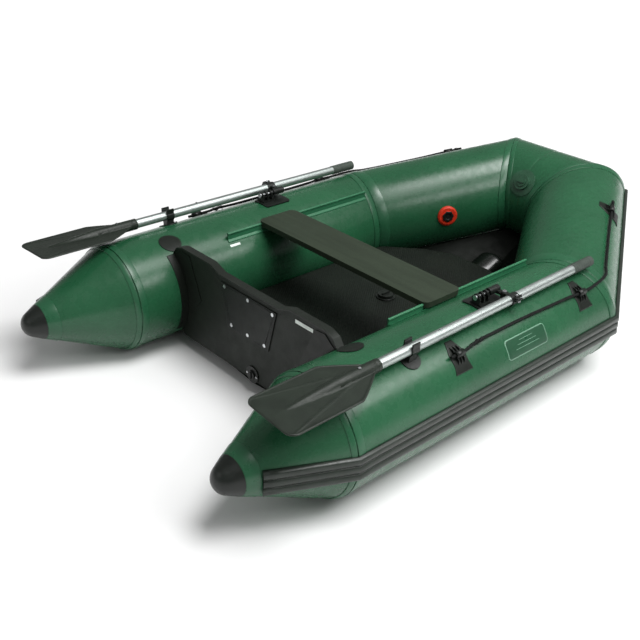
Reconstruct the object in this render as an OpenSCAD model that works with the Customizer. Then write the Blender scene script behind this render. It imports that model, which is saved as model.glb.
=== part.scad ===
// Inflatable dinghy with a rigid transom, stowed oars, sliding seat and lifelines.
// +X points to the bow, +Y to port, +Z up; the origin is under the middle of the hull.

/* [Hull] */
// overall length over the bow rub strake
loa = 2200; // [1800:10:2700]
// overall beam over the rub strakes
beam = 1360; // [1130:10:1640]
// radius of the inflated tubes
tube_r = 180; // [150:1:220]
// thickness of the tube skin
skin_wall = 2; // [1:0.5:4]
// horizontal turn of the bow sections
bow_turn = 31.3; // [25:0.1:40]
// upward rise of the bow sections
bow_rise = 10.7; // [6:0.1:16]
// height of the ribbed rub strake
strake_h = 72; // [50:1:90]
// thickness of the rub strake at its ribs
strake_t = 10; // [6:0.5:14]

/* [Stern] */
// length of the stern cones, tip to seam
cone_len = 320; // [250:5:400]
// length of the black end caps
cap_len = 58; // [40:1:80]
// station of the transom's aft face
transom_s = 500; // [450:5:560]
// thickness of the transom board
transom_t = 24; // [15:1:35]
// width of the motor pad at its top edge
pad_w = 268; // [220:2:320]

/* [Inside] */
// fore and aft width of the seat board
seat_w = 162; // [140:2:220]
// thickness of the seat board
seat_t = 18; // [15:1:25]
// thickness of the floor deck
deck_t = 45; // [30:1:60]

/* [Oars] */
// outside radius of the oar shafts
shaft_r = 15.5; // [13:0.25:18]
// wall of the oar shafts
shaft_wall = 2; // [1:0.25:3]
// width of the blades
blade_w = 176; // [140:2:200]
// lean of the swing pins to the outside
pin_lean = 5; // [3:0.5:8]

/* [Lifelines] */
// radius of the lifeline rope
rope_r = 5; // [4:0.5:6]

/* [Hidden] */
$fn = 96;
fit = 0.3;
thin = 1.2;
stretch = loa / 2200;
crown = 2 * tube_r;
yc = beam / 2 - tube_r - strake_t - fit;
function at(s) = s * stretch - loa / 2;
function side_of(name) = name == "port" ? 1 : -1;

// directions of the hull tube's sections, port side, going forward
nose_y = yc * 0.31;
bow_run = (yc - nose_y) / sin(bow_turn);
bow_v = bow_run * [cos(bow_turn), -sin(bow_turn), tan(bow_rise)];
bow_len = norm(bow_v);
side_d = [1, 0, 0];
bow_d = bow_v / bow_len;
nose_d = [0, -1, 0];
bow_n = (bow_d + nose_d) / norm(bow_d + nose_d);

// angle that the outside of a bend makes with the horizontal of direction d
function frame_y(d) = [-d.y, d.x, 0] / norm([d.x, d.y, 0]);
function frame_z(d) = cross(d, frame_y(d));
function bend_angle(d1, d2, d) = let (b = cross(d1, d2)) atan2(b * frame_y(d), -(b * frame_z(d)));
bow_roll = bend_angle(side_d, bow_d, bow_d) - bend_angle(side_d, bow_d, side_d);
nose_roll = bow_roll + bend_angle(bow_d, nose_d, nose_d) - bend_angle(bow_d, nose_d, bow_d);

// axis corners of the hull tube; the upper rib of the strake reaches furthest forward
rib_half = strake_h / 8;
nose_reach = (tube_r + fit + strake_t) * cos(nose_roll) + (strake_h / 3 + rib_half) * sin(nose_roll);
cone_p = [at(0) + cone_len, yc, tube_r];
bow_p = [loa / 2 - nose_reach, nose_y, tube_r + bow_v.z];
kink_p = bow_p - bow_v;

// stern cone: a ball nose that the cone touches
cone_tip_r = 43;
cone_apex = cone_tip_r - cone_tip_r / sin(atan(tube_r / (cone_len + 57)));
cone_slope = tube_r / (cone_len - cone_apex);
function cone_r(x) = (x - cone_apex) * cone_slope;
band_end = 96;

// transom
board_top = crown + 7;
well_top = crown - 10;
well_w = 300;
board_low = 45;
trim_t = 5;
plate_t = 3;
plate_top = crown - 30;
plate_low = crown - 175;
plate_low_w = pad_w * 0.75;
drain_p = [-25, 66];

// seat and floor
seat_s = 939;
seat_top = crown - 6;
rail_y = yc - 112;
rail_z = seat_top - seat_t / 2 - 2;
bead_r = 4.5;
deck_top = tube_r - 50;
deck_low = deck_top - deck_t;
deck_end = at(1590);
keel_r = 32;
keel_z = deck_low - keel_r - fit;
skin_t = 3;

// oars and locks
lock_s = 1047;
hinge_y = yc + 8;
hinge_z = crown + 28;
pivot_y = yc + 40;
pivot_z = crown + 21;
arm = 30;
toe = 0.8;
tip_x = -952 * stretch;
neck_x = -576 * stretch;
joint_x = -352 * stretch;
grip_x = 313 * stretch;
end_x = 418 * stretch;
collar_r = shaft_r + 3.1;
clip_x = -447 * stretch;
spigot_r = shaft_r - shaft_wall - 0.25;
grip_r = 16.8;

// lifelines
eye_lean = 40;
eye_s = [753, 1348];
eye_t = 0.66 * bow_len;
tunnel_r = rope_r + 2.2;
tunnel_z = tube_r + fit + 3 + tunnel_r;

// ---- colours ----
hull_green = [0.33, 0.52, 0.42];
light_green = [0.45, 0.64, 0.53];
black = [0.10, 0.11, 0.10];
dark_grey = [0.30, 0.32, 0.30];
board_grey = [0.22, 0.24, 0.22];
seat_grey = [0.40, 0.42, 0.37];
alloy = [0.82, 0.84, 0.85];
steel = [0.70, 0.71, 0.72];
red = [0.80, 0.25, 0.15];
white = [0.92, 0.93, 0.92];

// ---- placing ----
module sided(side) {
  if (side > 0) children();
  else mirror([0, 1, 0]) children();
}

// children run along +X from a towards b, with +Y level and to port
module along(a, b) {
  d = b - a;
  translate(a) rotate([0, -asin(d.z / norm(d)), atan2(d.y, d.x)]) children();
}

// everything past point p in direction n
module beyond(p, n) {
  reach = 2 * loa;
  along(p, p + n) translate([0, -reach / 2, -reach / 2]) cube(reach);
}

// the three tube frames: X along the tube, Z out through its skin at the lean
module on_side(s, lean) {
  translate([at(s), yc, tube_r]) rotate([-lean, 0, 0]) children();
}

module on_bow(t, lean) {
  along(kink_p, bow_p) translate([t, 0, 0]) rotate([-lean, 0, 0]) children();
}

module on_nose(lean) {
  translate([bow_p.x, 0, bow_p.z]) rotate([0, 0, -90]) rotate([-lean, 0, 0]) children();
}

// a skin patch of thickness t in a tube frame, cut to the flat outline given
module skin_patch(t, lift = fit) {
  intersection() {
    rotate([0, 90, 0]) difference() {
      cylinder(h = 500, r = tube_r + lift + t, center = true);
      cylinder(h = 502, r = tube_r + lift, center = true);
    }
    translate([0, 0, tube_r / 2]) linear_extrude(tube_r) children();
  }
}

module rounded(w, h, r) {
  square([w - 2 * r, h], center = true);
  square([w, h - 2 * r], center = true);
  for (x = [-1, 1], y = [-1, 1]) {
    translate([x * (w / 2 - r), y * (h / 2 - r)]) circle(r);
  }
}

// a rod of radius r along +X from x0 to x1
module rod(x0, x1, r) {
  translate([x0, 0, 0]) rotate([0, 90, 0]) cylinder(h = x1 - x0, r = r);
}

// a pipe along +X from x0 to x1
module pipe(x0, x1, r, wall) {
  difference() {
    rod(x0, x1, r);
    rod(x0 - 1, x1 + 1, r - wall);
  }
}

// ---- hull tube ----
module side_tube(grow, past) {
  difference() {
    translate(cone_p) rod(0, kink_p.x - cone_p.x + 200, tube_r + grow);
    beyond(kink_p + [past, 0, 0], side_d + bow_d);
  }
}

module cone(x0, x1, grow) {
  translate([at(0) + x0, yc, tube_r]) rotate([0, 90, 0])
    cylinder(h = x1 - x0, r1 = cone_r(x0) + grow, r2 = cone_r(x1) + grow);
}

module bow_tube(grow, past) {
  difference() {
    along(kink_p, bow_p) rod(-250, bow_len + 250, tube_r + grow);
    beyond(kink_p + [fit + past, 0, 0], -(side_d + bow_d));
    beyond(bow_p - (fit / 2 + past) * bow_n, bow_n);
  }
}

module nose_tube(grow, past) {
  difference() {
    translate([bow_p.x, 0, bow_p.z]) rotate([0, 0, 90])
      rod(-bow_p.y - 150, bow_p.y + 150, tube_r + grow);
    for (s = [1, -1]) sided(s) beyond(bow_p + (fit / 2 + past) * bow_n, -bow_n);
  }
}

// a closed skin full of air
module chamber(side) {
  color(hull_green) sided(side) difference() {
    union() {
      side_tube(0, 0);
      cone(cap_len + fit, cone_len, 0);
    }
    side_tube(-skin_wall, -2 * skin_wall);
    cone(cap_len + fit + skin_wall, cone_len, -skin_wall);
  }
}

// three panels of the bow, each a closed skin, meeting under the seams
module chamber_bow() {
  color(hull_green) union() {
    for (s = [1, -1]) sided(s) difference() {
      bow_tube(0, 0);
      bow_tube(-skin_wall, skin_wall);
    }
    difference() {
      nose_tube(0, 0);
      nose_tube(-skin_wall, skin_wall);
    }
  }
}

module cap(side) {
  lip = 1.5;
  touch = 90 - atan(cone_slope);
  ball = [for (k = [0:8]) cone_tip_r * [sin(k * touch / 8), 1 - cos(k * touch / 8)]];
  color(black) sided(side) translate([at(0), yc, tube_r]) rotate([0, 90, 0])
    rotate_extrude() polygon(concat(ball, [[cone_r(cap_len) + lip, cap_len], [0, cap_len]]));
}

// ---- welded seams ----
module strake_zone(grow) {
  half = strake_h / 2 + grow;
  reach = 30;
  translate([at(0), yc + 20, tube_r - half]) cube([loa, tube_r + reach, 2 * half]);
  along(kink_p, bow_p) rotate([bow_roll, 0, 0])
    translate([-400, tube_r - reach, -half]) cube([bow_len + 600, 2 * reach, 2 * half]);
}

// the part of a tube within w of a mitre through p, on the side that n points away from
module seam_strip(p, n, w) {
  difference() {
    children();
    beyond(p - [fit, 0, 0], n);
    beyond(p - n / norm(n) * w, -n);
  }
}

module seams(side) {
  strip_w = 28;
  kink_n = side_d + bow_d;
  color(light_green) sided(side) difference() {
    union() {
      difference() {
        cone(cap_len + fit, band_end, fit + thin);
        cone(cap_len - 5, band_end + 5, fit);
      }
      translate(cone_p) pipe(2, 26, tube_r + fit + thin, thin);
      seam_strip(kink_p, kink_n, strip_w) translate([kink_p.x, yc, tube_r])
        pipe(-200, 200, tube_r + fit + thin, thin);
      seam_strip(kink_p + [2 * fit, 0, 0], -kink_n, strip_w * 1.5)
        along(kink_p, bow_p) pipe(-200, 300, tube_r + fit + thin, thin);
      seam_strip(bow_p, bow_n, strip_w)
        along(kink_p, bow_p) pipe(bow_len - 300, bow_len + 250, tube_r + fit + thin, thin);
    }
    strake_zone(fit);
    translate([-loa, -loa, -20]) cube([2 * loa, 2 * loa, 20]);
  }
}

// ---- rub strake ----
// three ribs, standing out from y = 0 with the back running in to be cut to the tube
module strake_profile() {
  half = strake_h / 2;
  pitch = strake_h / 3;
  valley = strake_t * 0.45;
  foot = strake_h / 6 * 0.95;
  ribs = [for (k = [-1, 0, 1]) each [
    [valley, k * pitch - foot], [strake_t, k * pitch - rib_half],
    [strake_t, k * pitch + rib_half], [valley, k * pitch + foot]
  ]];
  polygon(concat([[-24, -half]], [[valley - 3, -half]], ribs, [[valley - 3, half], [-24, half]]));
}

module strake_bar(x0, x1) {
  translate([x0, 0, 0]) rotate([90, 0, 90]) linear_extrude(x1 - x0) strake_profile();
}

// surface corners of the strake on the stern cone
strake_start = [at(0) + band_end + fit, yc + cone_r(band_end + fit), tube_r];
strake_knee = [cone_p.x, yc + tube_r, tube_r];
knee_n = side_d + (strake_knee - strake_start) / norm(strake_knee - strake_start);

module strake(side) {
  color(dark_grey) sided(side) difference() {
    union() {
      difference() {
        along(strake_start, strake_knee) translate([0, fit, 0]) strake_bar(0, cone_len);
        beyond(strake_knee, knee_n);
      }
      difference() {
        translate([cone_p.x, yc + tube_r + fit, tube_r]) strake_bar(-60, kink_p.x - cone_p.x + 200);
        beyond(strake_knee, -knee_n);
        beyond(kink_p, side_d + bow_d);
      }
    }
    cone(band_end - 40, cone_len, fit);
    translate(cone_p) rod(-1, loa, tube_r + fit);
  }
}

module strake_bow_half() {
  difference() {
    along(kink_p, bow_p) rotate([bow_roll, 0, 0]) translate([0, tube_r + fit, 0])
      strake_bar(-200, bow_len + 250);
    beyond(kink_p + [fit, 0, 0], -(side_d + bow_d));
    beyond(bow_p - fit / 2 * bow_n, bow_n);
    along(kink_p, bow_p) rod(-400, bow_len + 400, tube_r + fit);
  }
}

module strake_bow() {
  color(dark_grey) union() {
    for (s = [1, -1]) sided(s) strake_bow_half();
    difference() {
      translate([bow_p.x, 0, bow_p.z]) rotate([0, 0, -90]) rotate([nose_roll, 0, 0])
        translate([0, tube_r + fit, 0]) strake_bar(-nose_y - 150, nose_y + 150);
      for (s = [1, -1]) sided(s) beyond(bow_p + fit / 2 * bow_n, -bow_n);
      translate([bow_p.x, 0, bow_p.z]) rotate([0, 0, 90]) rod(-loa, loa, tube_r + fit);
    }
  }
}

// ---- bottom, keel and floor ----
// the skin's edge lies on the inner lower quarter of the tube
edge_drop = (tube_r + fit + 2.5) * sin(45);
function bow_edge(t) = kink_p + t * bow_d - edge_drop * (frame_y(bow_d) + frame_z(bow_d));
function skin_row(e, keel) = [e.x, e.y, e.z, keel];
side_edge = [0, yc - edge_drop, tube_r - edge_drop];
skin_rows = [
  skin_row([at(transom_s) + transom_t + 2, side_edge.y, side_edge.z], 8),
  skin_row([bow_edge(0).x - 20, side_edge.y, side_edge.z], 8),
  skin_row(bow_edge(0.3 * bow_len), 8),
  skin_row(bow_edge(0.6 * bow_len), 40),
  skin_row(bow_edge(0.8 * bow_len), 100)
];

// each row is a flat V of five corners above and five below
function skin_ring(r) = [
  [r[0], r[1], r[2]], [r[0], r[1] / 2, (r[2] + r[3]) / 2 - 4], [r[0], 0, r[3]],
  [r[0], -r[1] / 2, (r[2] + r[3]) / 2 - 4], [r[0], -r[1], r[2]],
  [r[0], -r[1], r[2] + skin_t], [r[0], -r[1] / 2, (r[2] + r[3]) / 2 - 4 + skin_t], [r[0], 0, r[3] + skin_t],
  [r[0], r[1] / 2, (r[2] + r[3]) / 2 - 4 + skin_t], [r[0], r[1], r[2] + skin_t]
];

// closed skin over rings of n points each
module lofted(rings) {
  n = len(rings[0]);
  m = len(rings);
  sides = [for (i = [0:m - 2], j = [0:n - 1]) let (k = (j + 1) % n) each [
    [i * n + j, (i + 1) * n + j, (i + 1) * n + k], [i * n + j, (i + 1) * n + k, i * n + k]
  ]];
  first = [for (j = [0:n / 2 - 2]) each [[j, j + 1, n - 2 - j], [j, n - 2 - j, n - 1 - j]]];
  last = [for (f = first) [for (v = [f[0], f[2], f[1]]) (m - 1) * n + v]];
  polyhedron(points = [for (r = rings) each r], faces = concat(sides, first, last));
}

module bottom_skin() {
  color(dark_grey) lofted([for (r = skin_rows) skin_ring(r)]);
}

module keel_tube() {
  back = [at(transom_s) + transom_t + 30, 0, keel_z];
  bend = [deck_end + 10, 0, keel_z];
  tip = [deck_end + 125, 0, deck_low + 8];
  up_d = (tip - bend) / norm(tip - bend);
  turns = [for (k = [1:5]) k * 15];
  path = concat([back, bend, tip], [for (a = turns) tip + keel_r * sin(a) * up_d]);
  radii = concat([keel_r, keel_r, keel_r], [for (a = turns) keel_r * cos(a)]);
  color(black) lofted([for (i = [0:len(path) - 1]) ring_at(path, i, radii[i], 32)]);
}

module floor_deck() {
  back = at(transom_s) + transom_t + 2;
  wide = yc - tube_r + 35;
  color(board_grey) difference() {
    translate([0, 0, deck_low]) linear_extrude(deck_t) polygon([
      [back, -wide], [at(1390), -wide], [at(1530), -wide * 0.58], [deck_end, -wide * 0.3],
      [deck_end, wide * 0.3], [at(1530), wide * 0.58], [at(1390), wide], [back, wide]
    ]);
    for (s = [1, -1]) sided(s) {
      translate(cone_p) rod(-10, loa, tube_r + thin + 2 * fit);
      along(kink_p, bow_p) rod(-60, bow_len, tube_r + thin + 2 * fit);
    }
    translate([at(1116), 0, deck_low - 1]) cylinder(h = deck_t + 2, r = 24);
  }
}

module floor_valve() {
  color(black) translate([at(1116), 0, 0]) difference() {
    union() {
      translate([0, 0, deck_low + 5]) cylinder(h = deck_t - 3, r = 24 - fit);
      translate([0, 0, deck_top + fit]) cylinder(h = 4, r = 33);
    }
    translate([0, 0, deck_low + 4]) cylinder(h = deck_t + 10, r = 15);
  }
}

module floor_cap() {
  color(black) translate([at(1116), 0, deck_top + 4 + 2 * fit]) union() {
    cylinder(h = 9, r = 27);
    translate([0, 0, -6]) cylinder(h = 7, r = 14);
    translate([0, 0, 8]) rounded_bar(38, 8, 7);
    translate([24, -6, 0]) cube([12, 12, 4]);
  }
}

// a bar of length l, width w and height h with round ends
module rounded_bar(l, w, h) {
  linear_extrude(h) rounded(l, w, w / 2 - 0.01);
}

module floor_tether() {
  strap = 70;
  color(black) translate([at(1116) + 36 + fit, 0, deck_top + fit]) union() {
    translate([0, -7, 0]) cube([strap, 14, 3]);
    translate([strap, 0, 0]) cylinder(h = 3, r = 13);
  }
}

// ---- transom ----
// top outline on the port side, from the centre out to the tube
function top_line(lift) = [
  [0, well_top + lift], [well_w / 2 - 8, well_top + lift], [well_w / 2 + 40, board_top + lift],
  [yc - 150, board_top + lift], [yc - 118, board_top - 12 + lift], [yc - 100, crown - 29 + lift]
];

function mirrored(line) = [for (i = [len(line) - 1:-1:0]) [-line[i].x, line[i].y]];

module board_outline() {
  top = top_line(-trim_t);
  polygon(concat(
    [[-(yc - 150), board_low]], [[-(yc - 100), board_low + 40]],
    mirrored(top), top, [[yc - 100, board_low + 40], [yc - 150, board_low]]
  ));
}

// a plate in the plane across the boat, from station x to x + t
module cross_plate(x, t) {
  translate([x, 0, 0]) rotate([90, 0, 90]) linear_extrude(t) children();
}

module tube_cut(grow) {
  for (s = [1, -1]) sided(s) translate([cone_p.x, yc, tube_r]) rod(0, kink_p.x - cone_p.x, tube_r + grow);
}

screw_head_r = 6;
screw_rows = [[-0.43, 0.07], [0, 0.07], [0.43, 0.07], [-0.3, 0.93], [0, 0.93], [0.3, 0.93]];
function screw_at(r) = [r[0] * pad_w, plate_top - 2 - r[1] * (plate_top - plate_low - 4)];
module screw_holes(r) {
  for (k = screw_rows) translate(screw_at(k)) circle(r);
}

module transom_board() {
  color(board_grey) difference() {
    cross_plate(at(transom_s), transom_t) difference() {
      board_outline();
      translate(drain_p) circle(17);
      screw_holes(3.3);
    }
    tube_cut(fit);
  }
}

module transom_trim() {
  low = top_line(-trim_t + fit);
  high = top_line(0);
  color(dark_grey) difference() {
    cross_plate(at(transom_s) - 2, transom_t + 4)
      polygon(concat(mirrored(high), high, [for (i = [len(low) - 1:-1:0]) low[i]], [for (p = low) [-p.x, p.y]]));
    tube_cut(fit);
  }
}

module transom_tape(side) {
  tape_w = 30;
  color(black) sided(side) union() {
    // sealing band on the tube, aft of the board
    intersection() {
      translate([at(transom_s) - tape_w - 0.4, yc, tube_r]) pipe(0, tape_w, tube_r + fit + 1.8, 1.8);
      translate([at(transom_s) - tape_w - 5, yc - tube_r - 20, board_low + 30])
        cube([tape_w + 10, tube_r - 80, crown - board_low - 62]);
    }
    // dark cheek on the board's aft face
    difference() {
      cross_plate(at(transom_s) - fit - 2, 2) polygon([
        [yc - 190, board_top - 16], [yc - 150, board_top - 12], [yc - 125, crown - 24], [yc - 108, crown - 36],
        [yc - 108, 150], [yc - 215, 165], [yc - 250, 215]
      ]);
      translate([cone_p.x, yc, tube_r]) rod(0, 400, tube_r + 2 * fit + 1.8);
    }
    // round patch on the crown of the tube
    on_side(transom_s + transom_t / 2, -20.5) skin_patch(2) circle(38);
  }
}

module plate_outline() {
  polygon([
    [-pad_w / 2, plate_top], [-plate_low_w / 2, plate_low], [plate_low_w / 2, plate_low], [pad_w / 2, plate_top]
  ]);
}

module motor_plate(x) {
  color(board_grey) cross_plate(x, plate_t) difference() {
    plate_outline();
    screw_holes(screw_head_r + fit);
  }
}

module transom_screws() {
  color(steel) union() {
    for (k = screw_rows) translate([at(transom_s), screw_at(k).x, screw_at(k).y]) {
      rod(-plate_t - fit, -fit, screw_head_r);
      rod(-1, transom_t + 1, 3);
      rod(transom_t + fit, transom_t + plate_t + fit, screw_head_r);
    }
    for (y = [-1, 1]) translate([at(transom_s) - 5.8, drain_p.x + y * 22, drain_p.y]) rod(0, 1.5, 3.5);
  }
}

module drain_body() {
  color(black) translate([at(transom_s), drain_p.x, drain_p.y]) difference() {
    union() {
      rod(-4, -fit, 29);
      rod(-1, transom_t + 3, 16.5);
    }
    rod(-5, transom_t + 5, 12);
  }
}

module drain_plug() {
  color(black) translate([at(transom_s), drain_p.x, drain_p.y]) union() {
    rod(-5, transom_t, 11.5);
    rod(-9, -4 - fit, 15);
    translate([-12.5, -3, -11]) cube([4, 6, 22]);
  }
}

// ---- seat ----
module seat_board() {
  half = yc - 96;
  slot = 5.4;
  color(seat_grey) difference() {
    translate([at(seat_s), 0, seat_top - seat_t]) linear_extrude(seat_t) rounded(seat_w, 2 * half, 22);
    for (s = [1, -1]) translate([at(seat_s), s * rail_y, rail_z]) {
      rod(-seat_w, seat_w, bead_r + 0.5);
      translate([-seat_w, -slot / 2, -seat_t]) cube([2 * seat_w, slot, seat_t]);
    }
  }
}

module seat_rails() {
  r0 = at(712);
  r1 = at(1370);
  web = 4.4;
  color(light_green) union() {
    for (s = [1, -1]) sided(s) {
      translate([r0, rail_y, rail_z]) rod(0, r1 - r0, bead_r);
      difference() {
        union() {
          translate([r0, rail_y - web / 2, rail_z - 30]) cube([r1 - r0, web, 30]);
          intersection() {
            translate([r0, yc, tube_r]) rod(0, r1 - r0, tube_r + 3);
            translate([r0, rail_y - 9, tube_r]) cube([r1 - r0, 19, tube_r]);
          }
        }
        translate([r0 - 1, yc, tube_r]) rod(0, r1 - r0 + 2, tube_r + fit);
      }
    }
  }
}

// ---- oars ----
// pivot frame: origin on the swing pin, X forward, Z along the pin
module pivot_frame(side) {
  sided(side) translate([at(lock_s), pivot_y, pivot_z]) rotate([-pin_lean, 0, 0]) children();
}

// shaft frame: X along the oar, from the swing pin forward
module shaft_frame(side) {
  pivot_frame(side) rotate([0, 0, -toe]) translate([0, arm, 0]) children();
}

module blade_outline() {
  w = blade_w / 2;
  r = 26;
  x0 = tip_x;
  hull() {
    translate([x0 + r, w - r - 8]) circle(r);
    translate([x0 + r, -(w - r)]) circle(r);
    translate([x0 + 240, w - 18]) circle(18);
    translate([x0 + 240, -(w - 18)]) circle(18);
    translate([neck_x - 36, 0]) circle(19);
  }
}

module blade(side) {
  color(dark_grey) shaft_frame(side) difference() {
    union() {
      translate([0, 0, -3]) linear_extrude(6) blade_outline();
      rod(neck_x - 150, neck_x, 18.5);
      translate([tip_x + 60, 0, 0]) rotate([0, 90, 0])
        cylinder(h = neck_x - 150 - tip_x - 60, r1 = 4, r2 = 18.5);
    }
    rod(neck_x - 110, neck_x + 1, shaft_r + 0.25);
  }
}

module shaft_aft(side) {
  button_hole = 4.4;
  color(alloy) shaft_frame(side) difference() {
    union() {
      rod(neck_x - 109, joint_x, shaft_r);
      rod(joint_x - 1, joint_x + 80, spigot_r);
    }
    rod(neck_x - 110, joint_x + 81, spigot_r - shaft_wall);
    translate([joint_x + 24, 0, 0]) cylinder(h = 30, r = button_hole);
  }
}

module shaft_fwd(side) {
  button_hole = 4.4;
  color(alloy) shaft_frame(side) difference() {
    rod(joint_x + fit, end_x - 5, shaft_r);
    rod(joint_x, end_x - 4, shaft_r - shaft_wall);
    translate([joint_x + 24, 0, 0]) cylinder(h = 30, r = button_hole);
  }
}

module button(side) {
  foot_r = 6;
  foot_top = sqrt(pow(spigot_r - shaft_wall, 2) - foot_r * foot_r) - fit;
  color(steel) shaft_frame(side) translate([joint_x + 24, 0, 0]) union() {
    translate([0, 0, foot_top - 1]) cylinder(h = shaft_r + 3.5 - foot_top, r = 4);
    translate([0, 0, foot_top - 2]) cylinder(h = 2, r = foot_r);
  }
}

module grip(side) {
  color(dark_grey) shaft_frame(side) difference() {
    rod(grip_x, end_x, grip_r);
    for (k = [0:6]) pipe(grip_x + 10 + k * 12, grip_x + 14 + k * 12, grip_r + 1, 1.4);
    rod(grip_x - 1, end_x - 4.7, shaft_r + fit);
  }
}

module collar(side) {
  half = 16;
  ear_w = 10;
  web = 18;
  ear_in = 4;
  ear_out = 9.5;
  color(black) shaft_frame(side) difference() {
    union() {
      rod(-half, half, collar_r);
      for (z = [ear_in, -ear_out]) translate([0, -arm, z]) {
        cylinder(h = ear_out - ear_in, r = ear_w);
        translate([-web / 2, 0, 0]) cube([web, arm - 10, ear_out - ear_in]);
      }
      // clamp boss with its split, on the lower outside
      rotate([-55, 0, 0]) translate([1 - half, -6, collar_r - 4]) cube([2 * half - 2, 15, 13]);
    }
    rod(-half - 1, half + 1, shaft_r + fit);
    rotate([-55, 0, 0]) translate([-half - 1, 1, 10]) cube([2 * half + 2, 2.5, 30]);
    translate([0, -arm, -20]) cylinder(h = 40, r = 4.3);
    rotate([-55, 0, 0]) translate([0, -20, collar_r + 4]) rotate([-90, 0, 0]) cylinder(h = 40, r = 2.9);
  }
}

module oar_screws(side) {
  color(steel) shaft_frame(side) union() {
    // blade rivet
    translate([neck_x - 70, 0, 0]) {
      translate([0, 0, 18.5 + fit]) cylinder(h = 1.6, r = 4.5);
    }
    // clamp screw of the collar
    rotate([-55, 0, 0]) translate([0, 0, collar_r + 4]) rotate([-90, 0, 0]) {
      translate([0, 0, -12]) cylinder(h = 26, r = 2.6);
      translate([0, 0, 9 + fit]) cylinder(h = 5, r = 4.6);
      translate([0, 0, -10 - fit]) cylinder(h = 4, r = 4.6, $fn = 6);
    }
  }
}

module swing_pin(side) {
  color(steel) pivot_frame(side) union() {
    translate([0, 0, -12]) cylinder(h = 24, r = 4);
    translate([0, 0, 9.5 + fit]) cylinder(h = 3.4, r = 7);
    translate([0, 0, -9.5 - fit - 2.6]) cylinder(h = 2.6, r = 7);
  }
}

module lock_yoke(side) {
  half = 9;
  web = 16;
  rise_z = hinge_z - pivot_z;
  in_y = hinge_y - pivot_y;
  color(black) difference() {
    union() {
      pivot_frame(side) {
        cylinder(h = 7, r = half, center = true);
        translate([-web / 2, in_y + 8, -3.5]) cube([web, -in_y - 8, 7]);
      }
      sided(side) translate([at(lock_s), hinge_y, hinge_z]) {
        rod(-37, half, 12);
        translate([-web / 2 - 0.4, 0, -rise_z - 3]) cube([web + 0.8, 19, rise_z + 3]);
      }
    }
    pivot_frame(side) translate([0, 0, -10]) cylinder(h = 20, r = 4.3);
    sided(side) translate([at(lock_s), hinge_y, hinge_z]) rod(-50, 20, 5.3);
  }
}

module lock_base(side) {
  rib_t = 6;
  color(black) sided(side) difference() {
    union() {
      on_side(lock_s - 45, 0) skin_patch(4) rounded(112, 76, 10);
      for (x = [-92, -72, -52]) translate([at(lock_s) + x, hinge_y, 0]) {
        translate([0, -15, crown - 12]) cube([rib_t, 30, hinge_z - crown + 12]);
        translate([0, 0, hinge_z]) rod(0, rib_t, 11);
      }
      translate([at(lock_s) - 92, hinge_y - 20, crown - 6]) cube([46, 40, 14]);
    }
    translate([at(lock_s) - 200, yc, tube_r]) rod(0, 300, tube_r + fit);
    translate([at(lock_s), hinge_y, hinge_z]) rod(-100, 20, 5.3);
  }
}

module lock_pins(side) {
  color(steel) sided(side) translate([at(lock_s), hinge_y, hinge_z]) union() {
    rod(-98, 12, 5);
    rod(-98, -93, 8);
    rod(9.6, 13, 8);
  }
}

module clip(side) {
  base_lean = asin((pivot_y + arm - yc + 6) / tube_r);
  color(black) union() {
    sided(side) translate([at(lock_s) + clip_x, yc, tube_r]) rotate([-base_lean, 0, 0]) skin_patch(3) circle(32);
    difference() {
      shaft_frame(side) translate([clip_x, 0, 0]) clip_jaws();
      sided(side) translate(cone_p) rod(0, loa, tube_r + fit);
    }
  }
}

// an open ring round the shaft with two upright prongs and a foot
module clip_jaws() {
  wall = 4;
  floor_z = -shaft_r - fit - wall;
  difference() {
    union() {
      rod(-14, 14, shaft_r + fit + wall);
      translate([-14, -12, floor_z - 19]) cube([28, 24, 23]);
      for (y = [-1, 1]) translate([-14, y * 15 - 2.5, 6]) cube([28, 5, 18]);
    }
    rod(-20, 20, shaft_r + fit);
    translate([-20, -11, 5]) cube([40, 22, 40]);
  }
}

// ---- valves ----
valve_t = 0.49;

module valve_frame() {
  on_bow(valve_t * bow_len, -87) translate([0, 0, tube_r]) children();
}

module valve_body() {
  color(red) valve_frame() difference() {
    union() {
      translate([0, 0, -6]) cylinder(h = 10, r = 39);
      translate([0, 0, 3.9]) cylinder(h = 4, r1 = 39, r2 = 33);
      cylinder(h = 11, r = 21);
    }
    translate([0, 0, 4]) cylinder(h = 20, r = 17);
    translate([0, 0, -10]) cylinder(h = 30, r = 5.3);
    translate([0, 0, -tube_r]) rod(-60, 60, tube_r + fit);
  }
}

module valve_pin() {
  color(black) valve_frame() union() {
    translate([0, 0, 2.6]) cylinder(h = 8, r = 5);
    translate([0, 0, 8]) cylinder(h = 3, r = 9);
  }
}

module bow_valve() {
  color(light_green) on_nose(-61) union() {
    skin_patch(2) circle(52);
    translate([0, 0, tube_r + 2]) difference() {
      translate([0, 0, -1]) cylinder(h = 10, r = 30);
      translate([0, 0, 4]) cylinder(h = 8, r = 20);
    }
  }
}

module bow_cap() {
  color(dark_grey) on_nose(-61) translate([0, 0, tube_r + 2]) union() {
    translate([0, 0, 4 + fit]) cylinder(h = 8, r = 19.4);
    translate([0, 0, 12]) rounded_bar(30, 7, 6);
  }
}

// ---- lifelines ----
// a folded tab with a tunnel along X, in a tube frame
module eye() {
  difference() {
    union() {
      skin_patch(2.2) rounded(66, 96, 14);
      translate([0, 0, tunnel_z]) rod(-17, 17, tunnel_r + 3);
      translate([-17, -tunnel_r - 3, tube_r]) cube([34, 2 * tunnel_r + 6, tunnel_z - tube_r]);
      translate([-17, -34, tube_r - 6]) cube([34, 68, 9]);
    }
    rod(-60, 60, tube_r + fit);
    translate([0, 0, tunnel_z]) rod(-40, 40, tunnel_r);
  }
}

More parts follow.
